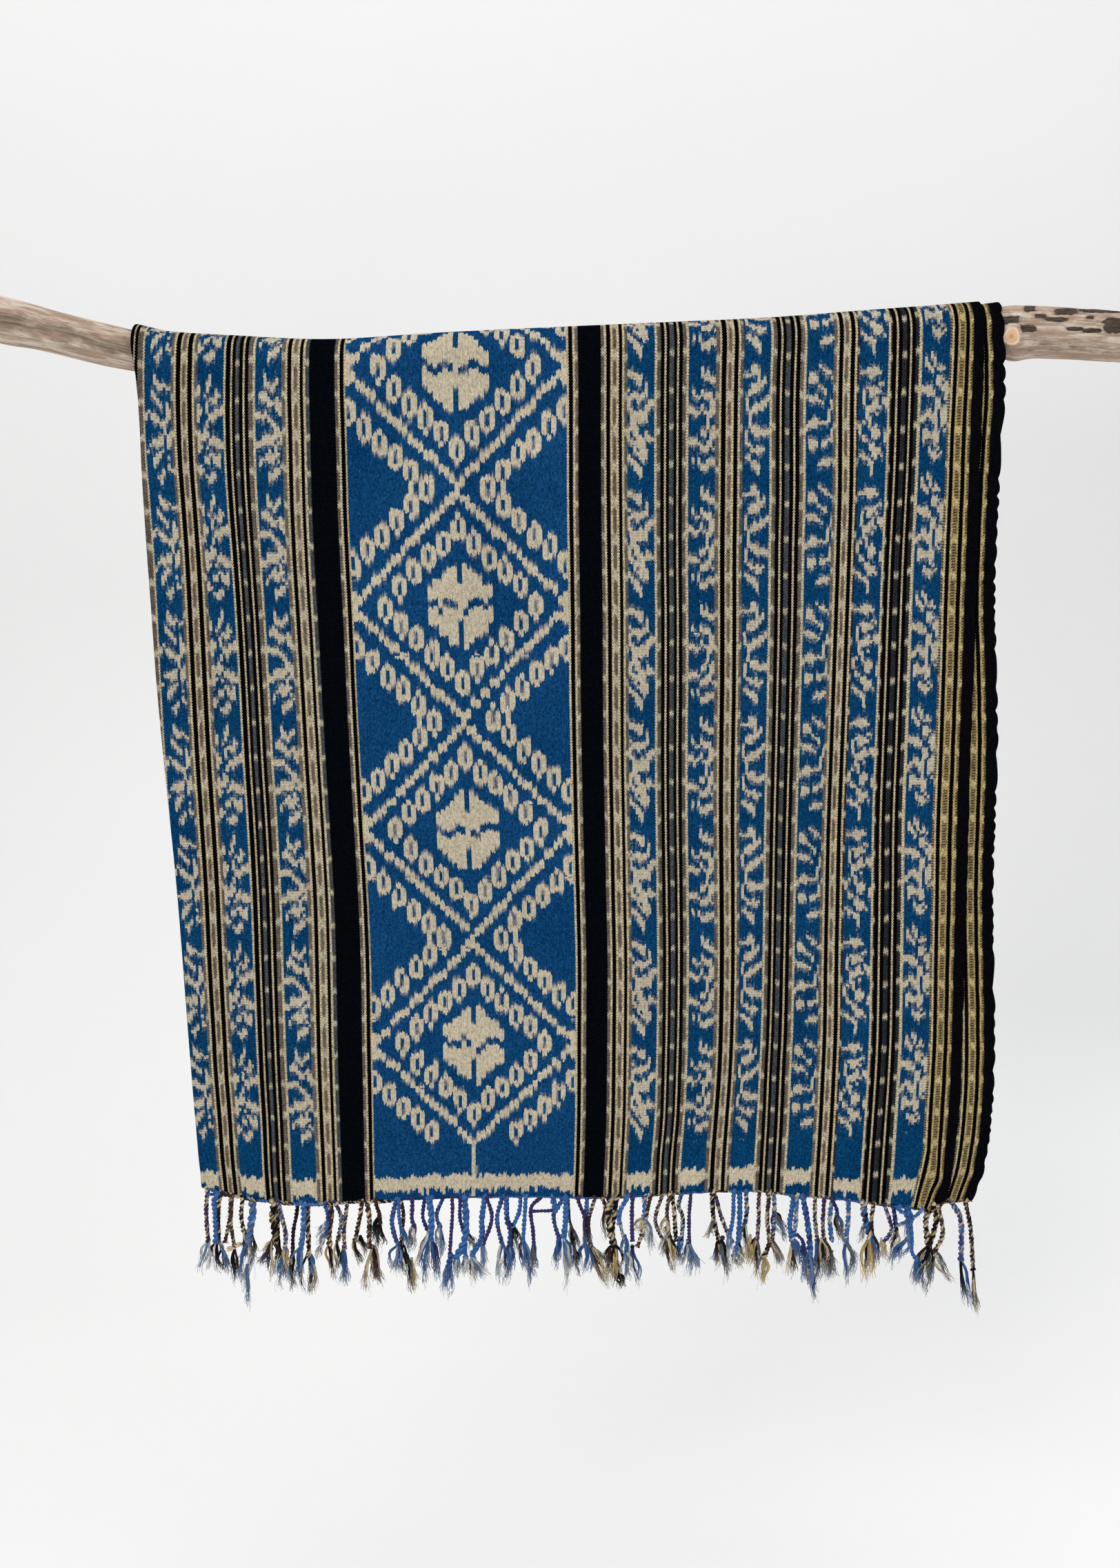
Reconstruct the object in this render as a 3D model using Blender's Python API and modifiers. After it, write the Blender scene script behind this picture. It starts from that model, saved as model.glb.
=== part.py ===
"""Ikat woven cloth hung over a driftwood branch.

Metres, +Z up, -Y towards the viewer, X along the branch.  The origin is the centre
of the branch's sawn left end.

The cloth is one sheet.  It is folded once lengthwise, so that it has an upper and
an under layer joined along the fold at the left, and the folded sheet hangs over
the branch with a front part, the arc over the branch and a back part.  A twisted
fringe runs along both of its cut ends.
"""

import math

import bmesh
import bpy

for old in list(bpy.data.objects):
    bpy.data.objects.remove(old, do_unlink=True)

# ---------------------------------------------------------------- driving sizes (m)
CLOTH_THICK = 0.0012    # the woven cloth
LAYER_STEP = 0.0020     # middle of the upper layer to middle of the under layer
BRANCH_GAP = 0.0018     # between the bark and the under layer
HEM_BACK = -0.575       # height of the hidden back edge
LEAN_BACK = 0.0         # the back part hangs plumb

FRINGE_GAP = 0.0006     # between the edge of the cloth and the fringe's head
FRINGE_HEAD = 0.0030    # height of the head that carries the cords
FRINGE_THICK = 0.0015
CORD_PITCH = 0.0143     # cord to cord along one layer
CORD_WIDE = 0.0032
CORD_LONG = 0.0720      # usual length of a cord with its tassel

ACROSS = 15             # columns of each layer
FOLD_STEPS = 4          # facets round the lengthwise fold
FRONT_STEPS = 12
OVER_STEPS = 10
BACK_STEPS = 8

# The branch: centre line and radius, from its left end to its right end.
BRANCH = (
    # x, y, z, radius
    dict(x=0.000, y=0.0000, z=0.0000, radius=0.0174),
    dict(x=0.012, y=0.0000, z=0.0000, radius=0.0176),
    dict(x=0.036, y=0.0005, z=-0.0081, radius=0.0171),
    dict(x=0.060, y=0.0010, z=-0.0133, radius=0.0160),
    dict(x=0.084, y=0.0015, z=-0.0197, radius=0.0152),
    dict(x=0.108, y=0.0018, z=-0.0256, radius=0.0150),
    dict(x=0.130, y=0.0018, z=-0.0306, radius=0.0146),
    dict(x=0.150, y=0.0016, z=-0.0353, radius=0.0140),
    dict(x=0.200, y=0.0008, z=-0.0400, radius=0.0148),
    dict(x=0.269, y=-0.0010, z=-0.0443, radius=0.0155),
    dict(x=0.347, y=-0.0022, z=-0.0413, radius=0.0160),
    dict(x=0.447, y=-0.0008, z=-0.0376, radius=0.0161),
    dict(x=0.515, y=0.0010, z=-0.0356, radius=0.0165),
    dict(x=0.581, y=0.0018, z=-0.0332, radius=0.0165),
    dict(x=0.648, y=0.0008, z=-0.0291, radius=0.0165),
    dict(x=0.700, y=-0.0008, z=-0.0261, radius=0.0165),
    dict(x=0.731, y=-0.0010, z=-0.0239, radius=0.0165),
    dict(x=0.750, y=-0.0008, z=-0.0233, radius=0.0178),
    dict(x=0.771, y=-0.0004, z=-0.0238, radius=0.0179),
    dict(x=0.800, y=0.0000, z=-0.0256, radius=0.0175),
    dict(x=0.832, y=0.0000, z=-0.0279, radius=0.0173),
    dict(x=0.856, y=0.0000, z=-0.0282, radius=0.0172),
    dict(x=0.868, y=0.0000, z=-0.0282, radius=0.0172),
)

# Where the sheet's edges lie at each height of the front part, and of the back part.
FRONT_EDGES = (
    # z, x of the lengthwise fold, of the upper selvedge, of the under selvedge
    dict(z=-0.030, fold=0.1345, upper=0.7280, under=0.7402),
    dict(z=-0.126, fold=0.1375, upper=0.7273, under=0.7414),
    dict(z=-0.223, fold=0.1386, upper=0.7272, under=0.7426),
    dict(z=-0.323, fold=0.1408, upper=0.7277, under=0.7462),
    dict(z=-0.427, fold=0.1446, upper=0.7287, under=0.7497),
    dict(z=-0.534, fold=0.1472, upper=0.7300, under=0.7540),
    dict(z=-0.639, fold=0.1494, upper=0.7257, under=0.7512),
    dict(z=-0.672, fold=0.1510, upper=0.7220, under=0.7485),
)
BACK_EDGES = (
    dict(z=-0.030, fold=0.1345, upper=0.7280, under=0.7402),
    dict(z=-0.250, fold=0.1390, upper=0.7275, under=0.7420),
    dict(z=-0.575, fold=0.1430, upper=0.7270, under=0.7450),
)

# The front hem isn't level: its height along the cloth.
HEM_LINE = (
    dict(x=0.150, z=-0.6575),
    dict(x=0.165, z=-0.6640),
    dict(x=0.208, z=-0.6681),
    dict(x=0.280, z=-0.6677),
    dict(x=0.367, z=-0.6647),
    dict(x=0.463, z=-0.6634),
    dict(x=0.580, z=-0.6625),
    dict(x=0.622, z=-0.6668),
    dict(x=0.676, z=-0.6708),
    dict(x=0.716, z=-0.6728),
    dict(x=0.752, z=-0.6722),
)

# Soft folds of the hanging parts: each starts at some drop below the branch and
# deepens down to the hem.  A negative depth comes towards the viewer.
FRONT_FOLDS = (
    # centre across, half width, depth at the hem, drop where it starts
    dict(x=0.150, half=0.045, depth=0.0040, drop=0.10),
    dict(x=0.235, half=0.060, depth=-0.0035, drop=0.12),
    dict(x=0.345, half=0.070, depth=0.0030, drop=0.20),
    dict(x=0.470, half=0.080, depth=-0.0040, drop=0.15),
    dict(x=0.590, half=0.065, depth=0.0030, drop=0.25),
    dict(x=0.680, half=0.055, depth=-0.0035, drop=0.20),
    dict(x=0.750, half=0.045, depth=0.0035, drop=0.30),
)
BACK_FOLDS = (
    dict(x=0.190, half=0.070, depth=0.0045, drop=0.10),
    dict(x=0.320, half=0.080, depth=-0.0030, drop=0.12),
    dict(x=0.450, half=0.080, depth=0.0045, drop=0.15),
    dict(x=0.590, half=0.080, depth=-0.0030, drop=0.10),
    dict(x=0.710, half=0.070, depth=0.0040, drop=0.15),
)


# ---------------------------------------------------------------- shape functions
def along(table, key, value, by="x"):
    """A smooth curve through one column of a table, flat-ended outside it."""
    rows = sorted(table, key=lambda row: row[by])
    if value <= rows[0][by]:
        return rows[0][key]
    if value >= rows[-1][by]:
        return rows[-1][key]
    i = max(n for n in range(len(rows) - 1) if rows[n][by] <= value)

    def slope(n):
        if n in (0, len(rows) - 1):
            return 0.0
        a, b = rows[n - 1], rows[n + 1]
        return (b[key] - a[key]) / (b[by] - a[by])

    a, b = rows[i], rows[i + 1]
    span = b[by] - a[by]
    t = (value - a[by]) / span
    return (
        (2 * t**3 - 3 * t**2 + 1) * a[key]
        + (t**3 - 2 * t**2 + t) * span * slope(i)
        + (-2 * t**3 + 3 * t**2) * b[key]
        + (t**3 - t**2) * span * slope(i + 1)
    )


def smooth(t):
    t = min(1.0, max(0.0, t))
    return t * t * (3 - 2 * t)


def folds(table, x, drop, full_drop):
    """Depth of the soft folds at this place of a hanging part."""
    depth = 0.0
    for row in table:
        away = abs(x - row["x"]) / row["half"]
        if away < 1:
            grown = smooth((drop - row["drop"]) / (full_drop - row["drop"]))
            depth += row["depth"] * grown * math.cos(away * math.pi / 2) ** 2
    return depth


def branch_at(x):
    return along(BRANCH, "y", x), along(BRANCH, "z", x), along(BRANCH, "radius", x)


def support(x):
    """Centre of the branch here, and the radius halfway between the two layers."""
    y, z, radius = branch_at(x)
    return y, z, radius + BRANCH_GAP + CLOTH_THICK / 2 + LAYER_STEP / 2


def stations():
    """The rows of the sheet, from the front hem over the branch to the back edge."""
    rows = [("front", n / FRONT_STEPS) for n in range(FRONT_STEPS)]
    rows += [("over", n / OVER_STEPS) for n in range(OVER_STEPS + 1)]
    rows += [("back", (n + 1) / BACK_STEPS) for n in range(BACK_STEPS)]
    return rows


def edges_at(part, z):
    table = BACK_EDGES if part == "back" else FRONT_EDGES
    return {key: along(table, key, z, by="z") for key in ("fold", "upper", "under")}


def place(part, share, x, out):
    """A point of the sheet: out is its distance outside the middle of the layers."""
    y0, z0, radius = support(x)
    if part == "over":
        turn = share * math.pi
        return (
            x,
            y0 - (radius + out) * math.cos(turn),
            z0 + (radius + out) * math.sin(turn),
        )
    if part == "front":
        hem = along(HEM_LINE, "z", x)
        z = hem + (z0 - hem) * share
        depth = folds(FRONT_FOLDS, x, z0 - z, z0 - hem)
        return x, y0 - radius - out + depth, z
    z = z0 + (HEM_BACK - z0) * share
    depth = folds(BACK_FOLDS, x, z0 - z, z0 - HEM_BACK)
    return x, y0 + radius + out + depth + LEAN_BACK * share, z


def section(part, share):
    """One row of the sheet: upper selvedge, fold, under selvedge."""
    z_guess = place(part, share, 0.44, 0.0)[2]
    edge = edges_at(part, min(z_guess, -0.030))
    half = LAYER_STEP / 2
    turn_x = edge["fold"] + CLOTH_THICK / 2 + half
    points = []
    for n in range(ACROSS):
        x = edge["upper"] + (turn_x - edge["upper"]) * n / ACROSS
        points.append(place(part, share, x, half))
    for n in range(FOLD_STEPS + 1):
        angle = math.pi / 2 + math.pi * n / FOLD_STEPS
        points.append(
            place(part, share, turn_x + half * math.cos(angle), half * math.sin(angle))
        )
    for n in range(1, ACROSS + 1):
        x = turn_x + (edge["under"] - turn_x) * n / ACROSS
        points.append(place(part, share, x, -half))
    return points


# ---------------------------------------------------------------- object helpers
parts = bpy.data.collections.new("ikat_cloth_on_branch")
bpy.context.scene.collection.children.link(parts)


def finish(name, color, roughness):
    material = bpy.data.materials.new(name)
    material.use_nodes = True
    shader = material.node_tree.nodes["Principled BSDF"]
    shader.inputs["Base Color"].default_value = (*color, 1.0)
    shader.inputs["Roughness"].default_value = roughness
    shader.inputs["Metallic"].default_value = 0.0
    return material


def add_mesh(name, mesh_bm, material):
    mesh = bpy.data.meshes.new(name)
    bmesh.ops.recalc_face_normals(mesh_bm, faces=mesh_bm.faces)
    mesh_bm.to_mesh(mesh)
    mesh_bm.free()
    mesh.shade_smooth()
    obj = bpy.data.objects.new(name, mesh)
    obj.data.materials.append(material)
    parts.objects.link(obj)
    return obj


# ---------------------------------------------------------------- the branch
def make_branch():
    curve = bpy.data.curves.new("branch", "CURVE")
    curve.dimensions = "3D"
    curve.bevel_mode = "ROUND"
    curve.bevel_depth = 0.01
    curve.bevel_resolution = 4
    curve.use_fill_caps = True
    stops = [row["x"] for row in BRANCH]
    fine = []
    for a, b in zip(stops, stops[1:]):
        fine += [a] if b - a < 0.04 else [a, (a + b) / 2]
    fine.append(stops[-1])
    line = curve.splines.new("POLY")
    line.points.add(len(fine) - 1)
    for point, x in zip(line.points, fine):
        y, z, radius = branch_at(x)
        point.co = (x, y, z, 1.0)
        point.radius = radius / curve.bevel_depth
    curve.materials.append(finish("driftwood", (0.36, 0.27, 0.21), 0.8))
    obj = bpy.data.objects.new("branch", curve)
    parts.objects.link(obj)


# ---------------------------------------------------------------- the cloth
def make_cloth():
    sheet = bmesh.new()
    rows = [
        [sheet.verts.new(point) for point in section(part, share)]
        for part, share in stations()
    ]
    for lower, upper in zip(rows, rows[1:]):
        for n in range(len(lower) - 1):
            sheet.faces.new((lower[n], lower[n + 1], upper[n + 1], upper[n]))
    obj = add_mesh("cloth", sheet, finish("ikat_cotton", (0.09, 0.17, 0.33), 0.9))
    shell = obj.modifiers.new("thickness", "SOLIDIFY")
    shell.thickness = CLOTH_THICK
    shell.offset = 0.0
    shell.use_even_offset = False


# ---------------------------------------------------------------- the fringes
def cord_starts(turn_x, far, first):
    """Left sides of the cords along one layer, from the fold outwards."""
    starts = []
    x = turn_x + first
    while x + CORD_WIDE < far:
        starts.append(x)
        x += CORD_PITCH
    return starts


def make_fringe(name, part, share, color):
    """A comb under one cut edge of the sheet, along its upper layer, round the fold
    and back along its under layer."""
    edge = section(part, share)
    outwards = -1.0 if part == "front" else 1.0
    upper_edge = edge[: ACROSS + 1]
    under_edge = edge[ACROSS + FOLD_STEPS :]
    turn_x = upper_edge[-1][0]

    def on(layer, x):
        rows = sorted(layer)
        for (xa, ya, za), (xb, yb, zb) in zip(rows, rows[1:]):
            if xa <= x <= xb:
                t = (x - xa) / (xb - xa)
                return x, ya + (yb - ya) * t, za + (zb - za) * t
        raise ValueError("a cord hangs past the end of its layer")

    def stops(layer, first):
        """Places along one layer from the fold out, and whether a cord hangs from
        each to the next.  The comb bends where the cloth's edge bends."""
        far = layer_end(layer)
        cords = cord_starts(turn_x, far, first)
        places = [(x, True) for x in cords] + [(x + CORD_WIDE, False) for x in cords]
        for x, _, _ in layer:
            clear = all(x < c - 0.0006 or x > c + CORD_WIDE + 0.0006 for c in cords)
            if clear and turn_x + 0.001 < x < far - 0.001:
                places.append((x, False))
        return sorted(places + [(far, False)])

    def layer_end(layer):
        return max(x for x, _, _ in layer) - 0.0006

    # every column of the comb: its middle, which way is outside, and whether a cord
    # hangs from here to the next column
    upper = stops(upper_edge, 0.0035)
    under = stops(under_edge, 0.0035 + CORD_PITCH / 2)
    path = []
    for n in range(len(upper) - 1, -1, -1):
        hangs = n > 0 and upper[n - 1][1]
        path.append((on(upper_edge, upper[n][0]), (0.0, 1.0), hangs))
    for n in range(FOLD_STEPS + 1):
        angle = math.pi / 2 + math.pi * n / FOLD_STEPS
        path.append((edge[ACROSS + n], (math.cos(angle), math.sin(angle)), False))
    for x, hangs in under:
        path.append((on(under_edge, x), (0.0, -1.0), hangs))

    comb = bmesh.new()
    rings = []
    for (x, y, z), (side_x, side_out), _ in path:
        corners = []
        for push, drop in ((1, 0), (-1, 0), (-1, 1), (1, 1)):
            reach = push * FRINGE_THICK / 2
            corners.append(
                comb.verts.new(
                    (
                        x + side_x * reach,
                        y + outwards * side_out * reach,
                        z - FRINGE_GAP - drop * FRINGE_HEAD,
                    )
                )
            )
        rings.append(corners)
    cords = []
    for (_, _, hangs), a, b in zip(path, rings, rings[1:]):
        for k in range(4):
            face = comb.faces.new((a[k], a[(k + 1) % 4], b[(k + 1) % 4], b[k]))
            if k == 2 and hangs:
                cords.append(face)
    comb.faces.new(rings[0])
    comb.faces.new(list(reversed(rings[-1])))
    bmesh.ops.recalc_face_normals(comb, faces=comb.faces)

    for count, face in enumerate(cords):
        # cords differ in length, the same way every time
        longer = 0.0045 * math.sin(2.1 * count) + 0.0030 * math.sin(5.3 * count + 1.0)
        length = CORD_LONG + longer
        if part == "front" and count == len(cords) - 1:
            length = 0.0900  # the last cord at the right is the longest
        made = bmesh.ops.extrude_discrete_faces(comb, faces=[face])["faces"]
        bmesh.ops.translate(comb, verts=list(made[0].verts), vec=(0.0, 0.0, -length))
    add_mesh(name, comb, finish(name, color, 0.92))


make_branch()
make_cloth()
make_fringe("fringe_front", "front", 0.0, (0.10, 0.16, 0.32))
make_fringe("fringe_back", "back", 1.0, (0.12, 0.17, 0.30))
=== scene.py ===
import math
import random

import bpy
import numpy as np
from mathutils import Matrix, Vector, noise


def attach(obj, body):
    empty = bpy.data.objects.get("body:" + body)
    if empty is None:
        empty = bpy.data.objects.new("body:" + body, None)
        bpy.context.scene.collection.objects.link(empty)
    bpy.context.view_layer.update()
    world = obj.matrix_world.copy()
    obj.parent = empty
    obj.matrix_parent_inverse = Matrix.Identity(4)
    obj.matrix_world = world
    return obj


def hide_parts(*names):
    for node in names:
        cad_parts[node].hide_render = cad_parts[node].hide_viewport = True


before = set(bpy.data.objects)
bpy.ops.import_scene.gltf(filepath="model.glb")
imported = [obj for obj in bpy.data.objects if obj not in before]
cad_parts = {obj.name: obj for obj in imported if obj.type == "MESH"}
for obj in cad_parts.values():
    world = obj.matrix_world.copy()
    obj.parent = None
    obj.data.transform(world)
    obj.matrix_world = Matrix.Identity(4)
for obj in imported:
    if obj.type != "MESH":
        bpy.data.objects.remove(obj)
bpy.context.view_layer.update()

scene = bpy.context.scene
root = "root"

# =============================================================== camera (set first)
# Looking 10 degrees down at the cloth, square to it, with a small roll.
EYE = Vector((0.43002, -1.06977, -0.15807))
TURN = Matrix.Rotation(math.radians(80.0), 4, "X") @ Matrix.Rotation(
    math.radians(-0.57), 4, "Z"
)
FRAME_W, FRAME_H, FOCAL_PX = 1624, 2274, 2100.0

cam_data = bpy.data.cameras.new("camera")
cam_data.sensor_fit = "VERTICAL"
cam_data.sensor_height = 36.0
cam_data.lens = 36.0 * FOCAL_PX / FRAME_H
cam_data.clip_start = 0.05
cam_data.clip_end = 30.0
camera = bpy.data.objects.new("camera", cam_data)
camera.matrix_world = Matrix.Translation(EYE) @ TURN
scene.collection.objects.link(camera)
scene.camera = camera


def seen(u, v, y):
    """The point of the plane at depth y that shows at this place of the frame."""
    ray = TURN.to_3x3() @ Vector(
        ((u - FRAME_W / 2) / FOCAL_PX, -(v - FRAME_H / 2) / FOCAL_PX, -1.0)
    )
    return EYE + ray * ((y - EYE.y) / ray.y)


def shown(point):
    """The place of the frame where this point shows."""
    q = TURN.to_3x3().transposed() @ (Vector(point) - EYE)
    return (
        FRAME_W / 2 + FOCAL_PX * q.x / -q.z, FRAME_H / 2 - FOCAL_PX * q.y / -q.z
    )


# =============================================================== construction sizes
# The same sizes and tables as the solids, in metres.
CLOTH_THICK = 0.0012
LAYER_STEP = 0.0020
BRANCH_GAP = 0.0018
HEM_BACK = -0.575

BRANCH = (
    # x, y, z, radius
    (0.000, 0.0000, 0.0000, 0.0174),
    (0.012, 0.0000, 0.0000, 0.0176),
    (0.036, 0.0005, -0.0081, 0.0171),
    (0.060, 0.0010, -0.0133, 0.0160),
    (0.084, 0.0015, -0.0197, 0.0152),
    (0.108, 0.0018, -0.0256, 0.0150),
    (0.130, 0.0018, -0.0306, 0.0146),
    (0.150, 0.0016, -0.0353, 0.0140),
    (0.200, 0.0008, -0.0400, 0.0148),
    (0.269, -0.0010, -0.0443, 0.0155),
    (0.347, -0.0022, -0.0413, 0.0160),
    (0.447, -0.0008, -0.0376, 0.0161),
    (0.515, 0.0010, -0.0356, 0.0165),
    (0.581, 0.0018, -0.0332, 0.0165),
    (0.648, 0.0008, -0.0291, 0.0165),
    (0.700, -0.0008, -0.0261, 0.0165),
    (0.731, -0.0010, -0.0239, 0.0165),
    (0.750, -0.0008, -0.0233, 0.0178),
    (0.771, -0.0004, -0.0238, 0.0179),
    (0.800, 0.0000, -0.0256, 0.0175),
    (0.832, 0.0000, -0.0279, 0.0173),
    (0.856, 0.0000, -0.0282, 0.0172),
    (0.868, 0.0000, -0.0282, 0.0172),
)
# x of the lengthwise fold, the upper and the under selvedge at each height z, of the
# front part and of the back part
FRONT_EDGES = (
    (-0.0300, 0.1318, 0.7283, 0.7416), (-0.0550, 0.1342, 0.7289, 0.7434),
    (-0.0800, 0.1350, 0.7290, 0.7446), (-0.1260, 0.1346, 0.7293, 0.7435),
    (-0.1800, 0.1350, 0.7297, 0.7430), (-0.2230, 0.1356, 0.7301, 0.7436),
    (-0.2700, 0.1362, 0.7305, 0.7470), (-0.3230, 0.1378, 0.7304, 0.7499),
    (-0.4270, 0.1419, 0.7319, 0.7514), (-0.5340, 0.1439, 0.7332, 0.7578),
    (-0.5900, 0.1450, 0.7335, 0.7588), (-0.6390, 0.1464, 0.7300, 0.7550),
    (-0.6760, 0.1476, 0.7278, 0.7462),
)
BACK_EDGES = (
    (-0.030, 0.1318, 0.7280, 0.7448), (-0.250, 0.1385, 0.7275, 0.7435),
    (-0.575, 0.1430, 0.7270, 0.7450),
)
# x of twelve warp yarns of the upper layer (how far they lie from the cloth's middle,
# in mm, then at each height z): the cloth sways a little as it hangs
YARNS_AT = (33.8, 69.7, 113.1, 152.25, 305.85, 339.0, 377.2, 420.3, 458.4, 499.7, 536.1,
            579.1)
YARN_LINES = (
    (-0.0300, 0.1658, 0.2008, 0.2436, 0.2825, 0.4373, 0.4711, 0.5095, 0.5525, 0.5913,
     0.6340, 0.6717, 0.7135),
    (-0.0550, 0.1642, 0.1994, 0.2426, 0.2819, 0.4376, 0.4710, 0.5092, 0.5521, 0.5908,
     0.6338, 0.6720, 0.7136),
    (-0.0800, 0.1631, 0.1981, 0.2421, 0.2818, 0.4375, 0.4707, 0.5091, 0.5520, 0.5906,
     0.6339, 0.6720, 0.7133),
    (-0.1100, 0.1627, 0.1974, 0.2415, 0.2816, 0.4372, 0.4707, 0.5091, 0.5520, 0.5910,
     0.6345, 0.6721, 0.7128),
    (-0.1400, 0.1634, 0.1978, 0.2411, 0.2813, 0.4370, 0.4708, 0.5091, 0.5521, 0.5915,
     0.6350, 0.6717, 0.7130),
    (-0.1800, 0.1641, 0.1990, 0.2414, 0.2818, 0.4373, 0.4711, 0.5093, 0.5521, 0.5914,
     0.6348, 0.6707, 0.7127),
    (-0.2230, 0.1639, 0.1999, 0.2425, 0.2825, 0.4375, 0.4715, 0.5099, 0.5525, 0.5918,
     0.6344, 0.6702, 0.7128),
    (-0.2700, 0.1635, 0.2003, 0.2435, 0.2828, 0.4375, 0.4715, 0.5100, 0.5529, 0.5917,
     0.6337, 0.6700, 0.7132),
    (-0.3230, 0.1634, 0.2005, 0.2445, 0.2837, 0.4380, 0.4716, 0.5099, 0.5527, 0.5914,
     0.6330, 0.6696, 0.7133),
    (-0.3750, 0.1640, 0.2014, 0.2459, 0.2848, 0.4387, 0.4723, 0.5103, 0.5530, 0.5910,
     0.6323, 0.6692, 0.7130),
    (-0.4270, 0.1644, 0.2016, 0.2468, 0.2861, 0.4397, 0.4729, 0.5111, 0.5540, 0.5909,
     0.6323, 0.6701, 0.7140),
    (-0.4800, 0.1639, 0.2009, 0.2461, 0.2864, 0.4405, 0.4737, 0.5116, 0.5548, 0.5909,
     0.6325, 0.6708, 0.7150),
    (-0.5340, 0.1641, 0.2005, 0.2452, 0.2853, 0.4399, 0.4733, 0.5113, 0.5546, 0.5906,
     0.6331, 0.6714, 0.7162),
    (-0.5700, 0.1642, 0.2004, 0.2449, 0.2848, 0.4396, 0.4728, 0.5106, 0.5536, 0.5896,
     0.6325, 0.6707, 0.7157),
    (-0.6050, 0.1653, 0.2007, 0.2450, 0.2842, 0.4390, 0.4721, 0.5095, 0.5514, 0.5889,
     0.6317, 0.6693, 0.7150),
    (-0.6390, 0.1659, 0.2004, 0.2451, 0.2836, 0.4380, 0.4705, 0.5067, 0.5493, 0.5877,
     0.6305, 0.6679, 0.7146),
    (-0.6760, 0.1676, 0.2011, 0.2450, 0.2833, 0.4366, 0.4691, 0.5056, 0.5483, 0.5866,
     0.6294, 0.6668, 0.7133),
)
HEM_LINE = (
    (0.150, -0.6608), (0.160, -0.6628), (0.175, -0.6652), (0.190, -0.6676),
    (0.208, -0.6684), (0.233, -0.6692), (0.280, -0.6684), (0.330, -0.6676),
    (0.367, -0.6668), (0.400, -0.6658), (0.463, -0.6662), (0.500, -0.6651),
    (0.554, -0.6650), (0.585, -0.6662), (0.608, -0.6694), (0.640, -0.6710),
    (0.667, -0.6735), (0.685, -0.6752), (0.700, -0.6762), (0.742, -0.6756),
    (0.752, -0.6750),
)
FRONT_FOLDS = (
    # centre across, half width, depth at the hem, drop where it starts
    (0.150, 0.045, 0.0040, 0.10), (0.235, 0.060, -0.0035, 0.12),
    (0.345, 0.070, 0.0030, 0.20), (0.470, 0.080, -0.0040, 0.15),
    (0.590, 0.065, 0.0030, 0.25), (0.680, 0.055, -0.0035, 0.20),
    (0.750, 0.045, 0.0035, 0.30),
)
BACK_FOLDS = (
    (0.190, 0.070, 0.0045, 0.10), (0.320, 0.080, -0.0030, 0.12),
    (0.450, 0.080, 0.0045, 0.15), (0.590, 0.080, -0.0030, 0.10),
    (0.710, 0.070, 0.0040, 0.15),
)


# The upper layer's free lower corner curls in: at these warp yarns, in mm across,
# how far above the hem that starts, and how far it goes inwards and down, in mm.
CORNER = (
    (548.0, 30.0, 0.0, 0.0), (562.0, 45.0, 3.6, 0.8), (574.8, 46.0, 7.6, 1.8),
    (583.1, 20.0, 7.9, 2.4), (587.2, 17.0, 9.3, 6.2), (591.0, 16.0, 6.0, 3.0),
    (595.25, 15.0, 1.7, -4.6),
)


def along(table, column, value):
    """A smooth curve through one column of a table, flat-ended outside it."""
    rows = sorted(table)
    if value <= rows[0][0]:
        return rows[0][column]
    if value >= rows[-1][0]:
        return rows[-1][column]
    i = max(n for n in range(len(rows) - 1) if rows[n][0] <= value)

    def slope(n):
        if n in (0, len(rows) - 1):
            return 0.0
        return (rows[n + 1][column] - rows[n - 1][column]) / (
            rows[n + 1][0] - rows[n - 1][0]
        )

    a, b = rows[i], rows[i + 1]
    span = b[0] - a[0]
    t = (value - a[0]) / span
    return (
        (2 * t**3 - 3 * t**2 + 1) * a[column]
        + (t**3 - 2 * t**2 + t) * span * slope(i)
        + (-2 * t**3 + 3 * t**2) * b[column]
        + (t**3 - t**2) * span * slope(i + 1)
    )


def smooth(t):
    t = min(1.0, max(0.0, t))
    return t * t * (3 - 2 * t)


def folds(table, x, drop, full_drop):
    depth = 0.0
    for centre, half, deep, start in table:
        away = abs(x - centre) / half
        if away < 1:
            grown = smooth((drop - start) / (full_drop - start))
            depth += deep * grown * math.cos(away * math.pi / 2) ** 2
    return depth


def branch_at(x):
    return along(BRANCH, 1, x), along(BRANCH, 2, x), along(BRANCH, 3, x)


_support = {}


def support(x):
    key = round(x, 4)
    if key not in _support:
        y, z, radius = branch_at(x)
        hem = along(HEM_LINE, 1, x)
        out = radius + BRANCH_GAP + CLOTH_THICK / 2 + LAYER_STEP / 2
        _support[key] = (y, z, out, hem)
    return _support[key]


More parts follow.
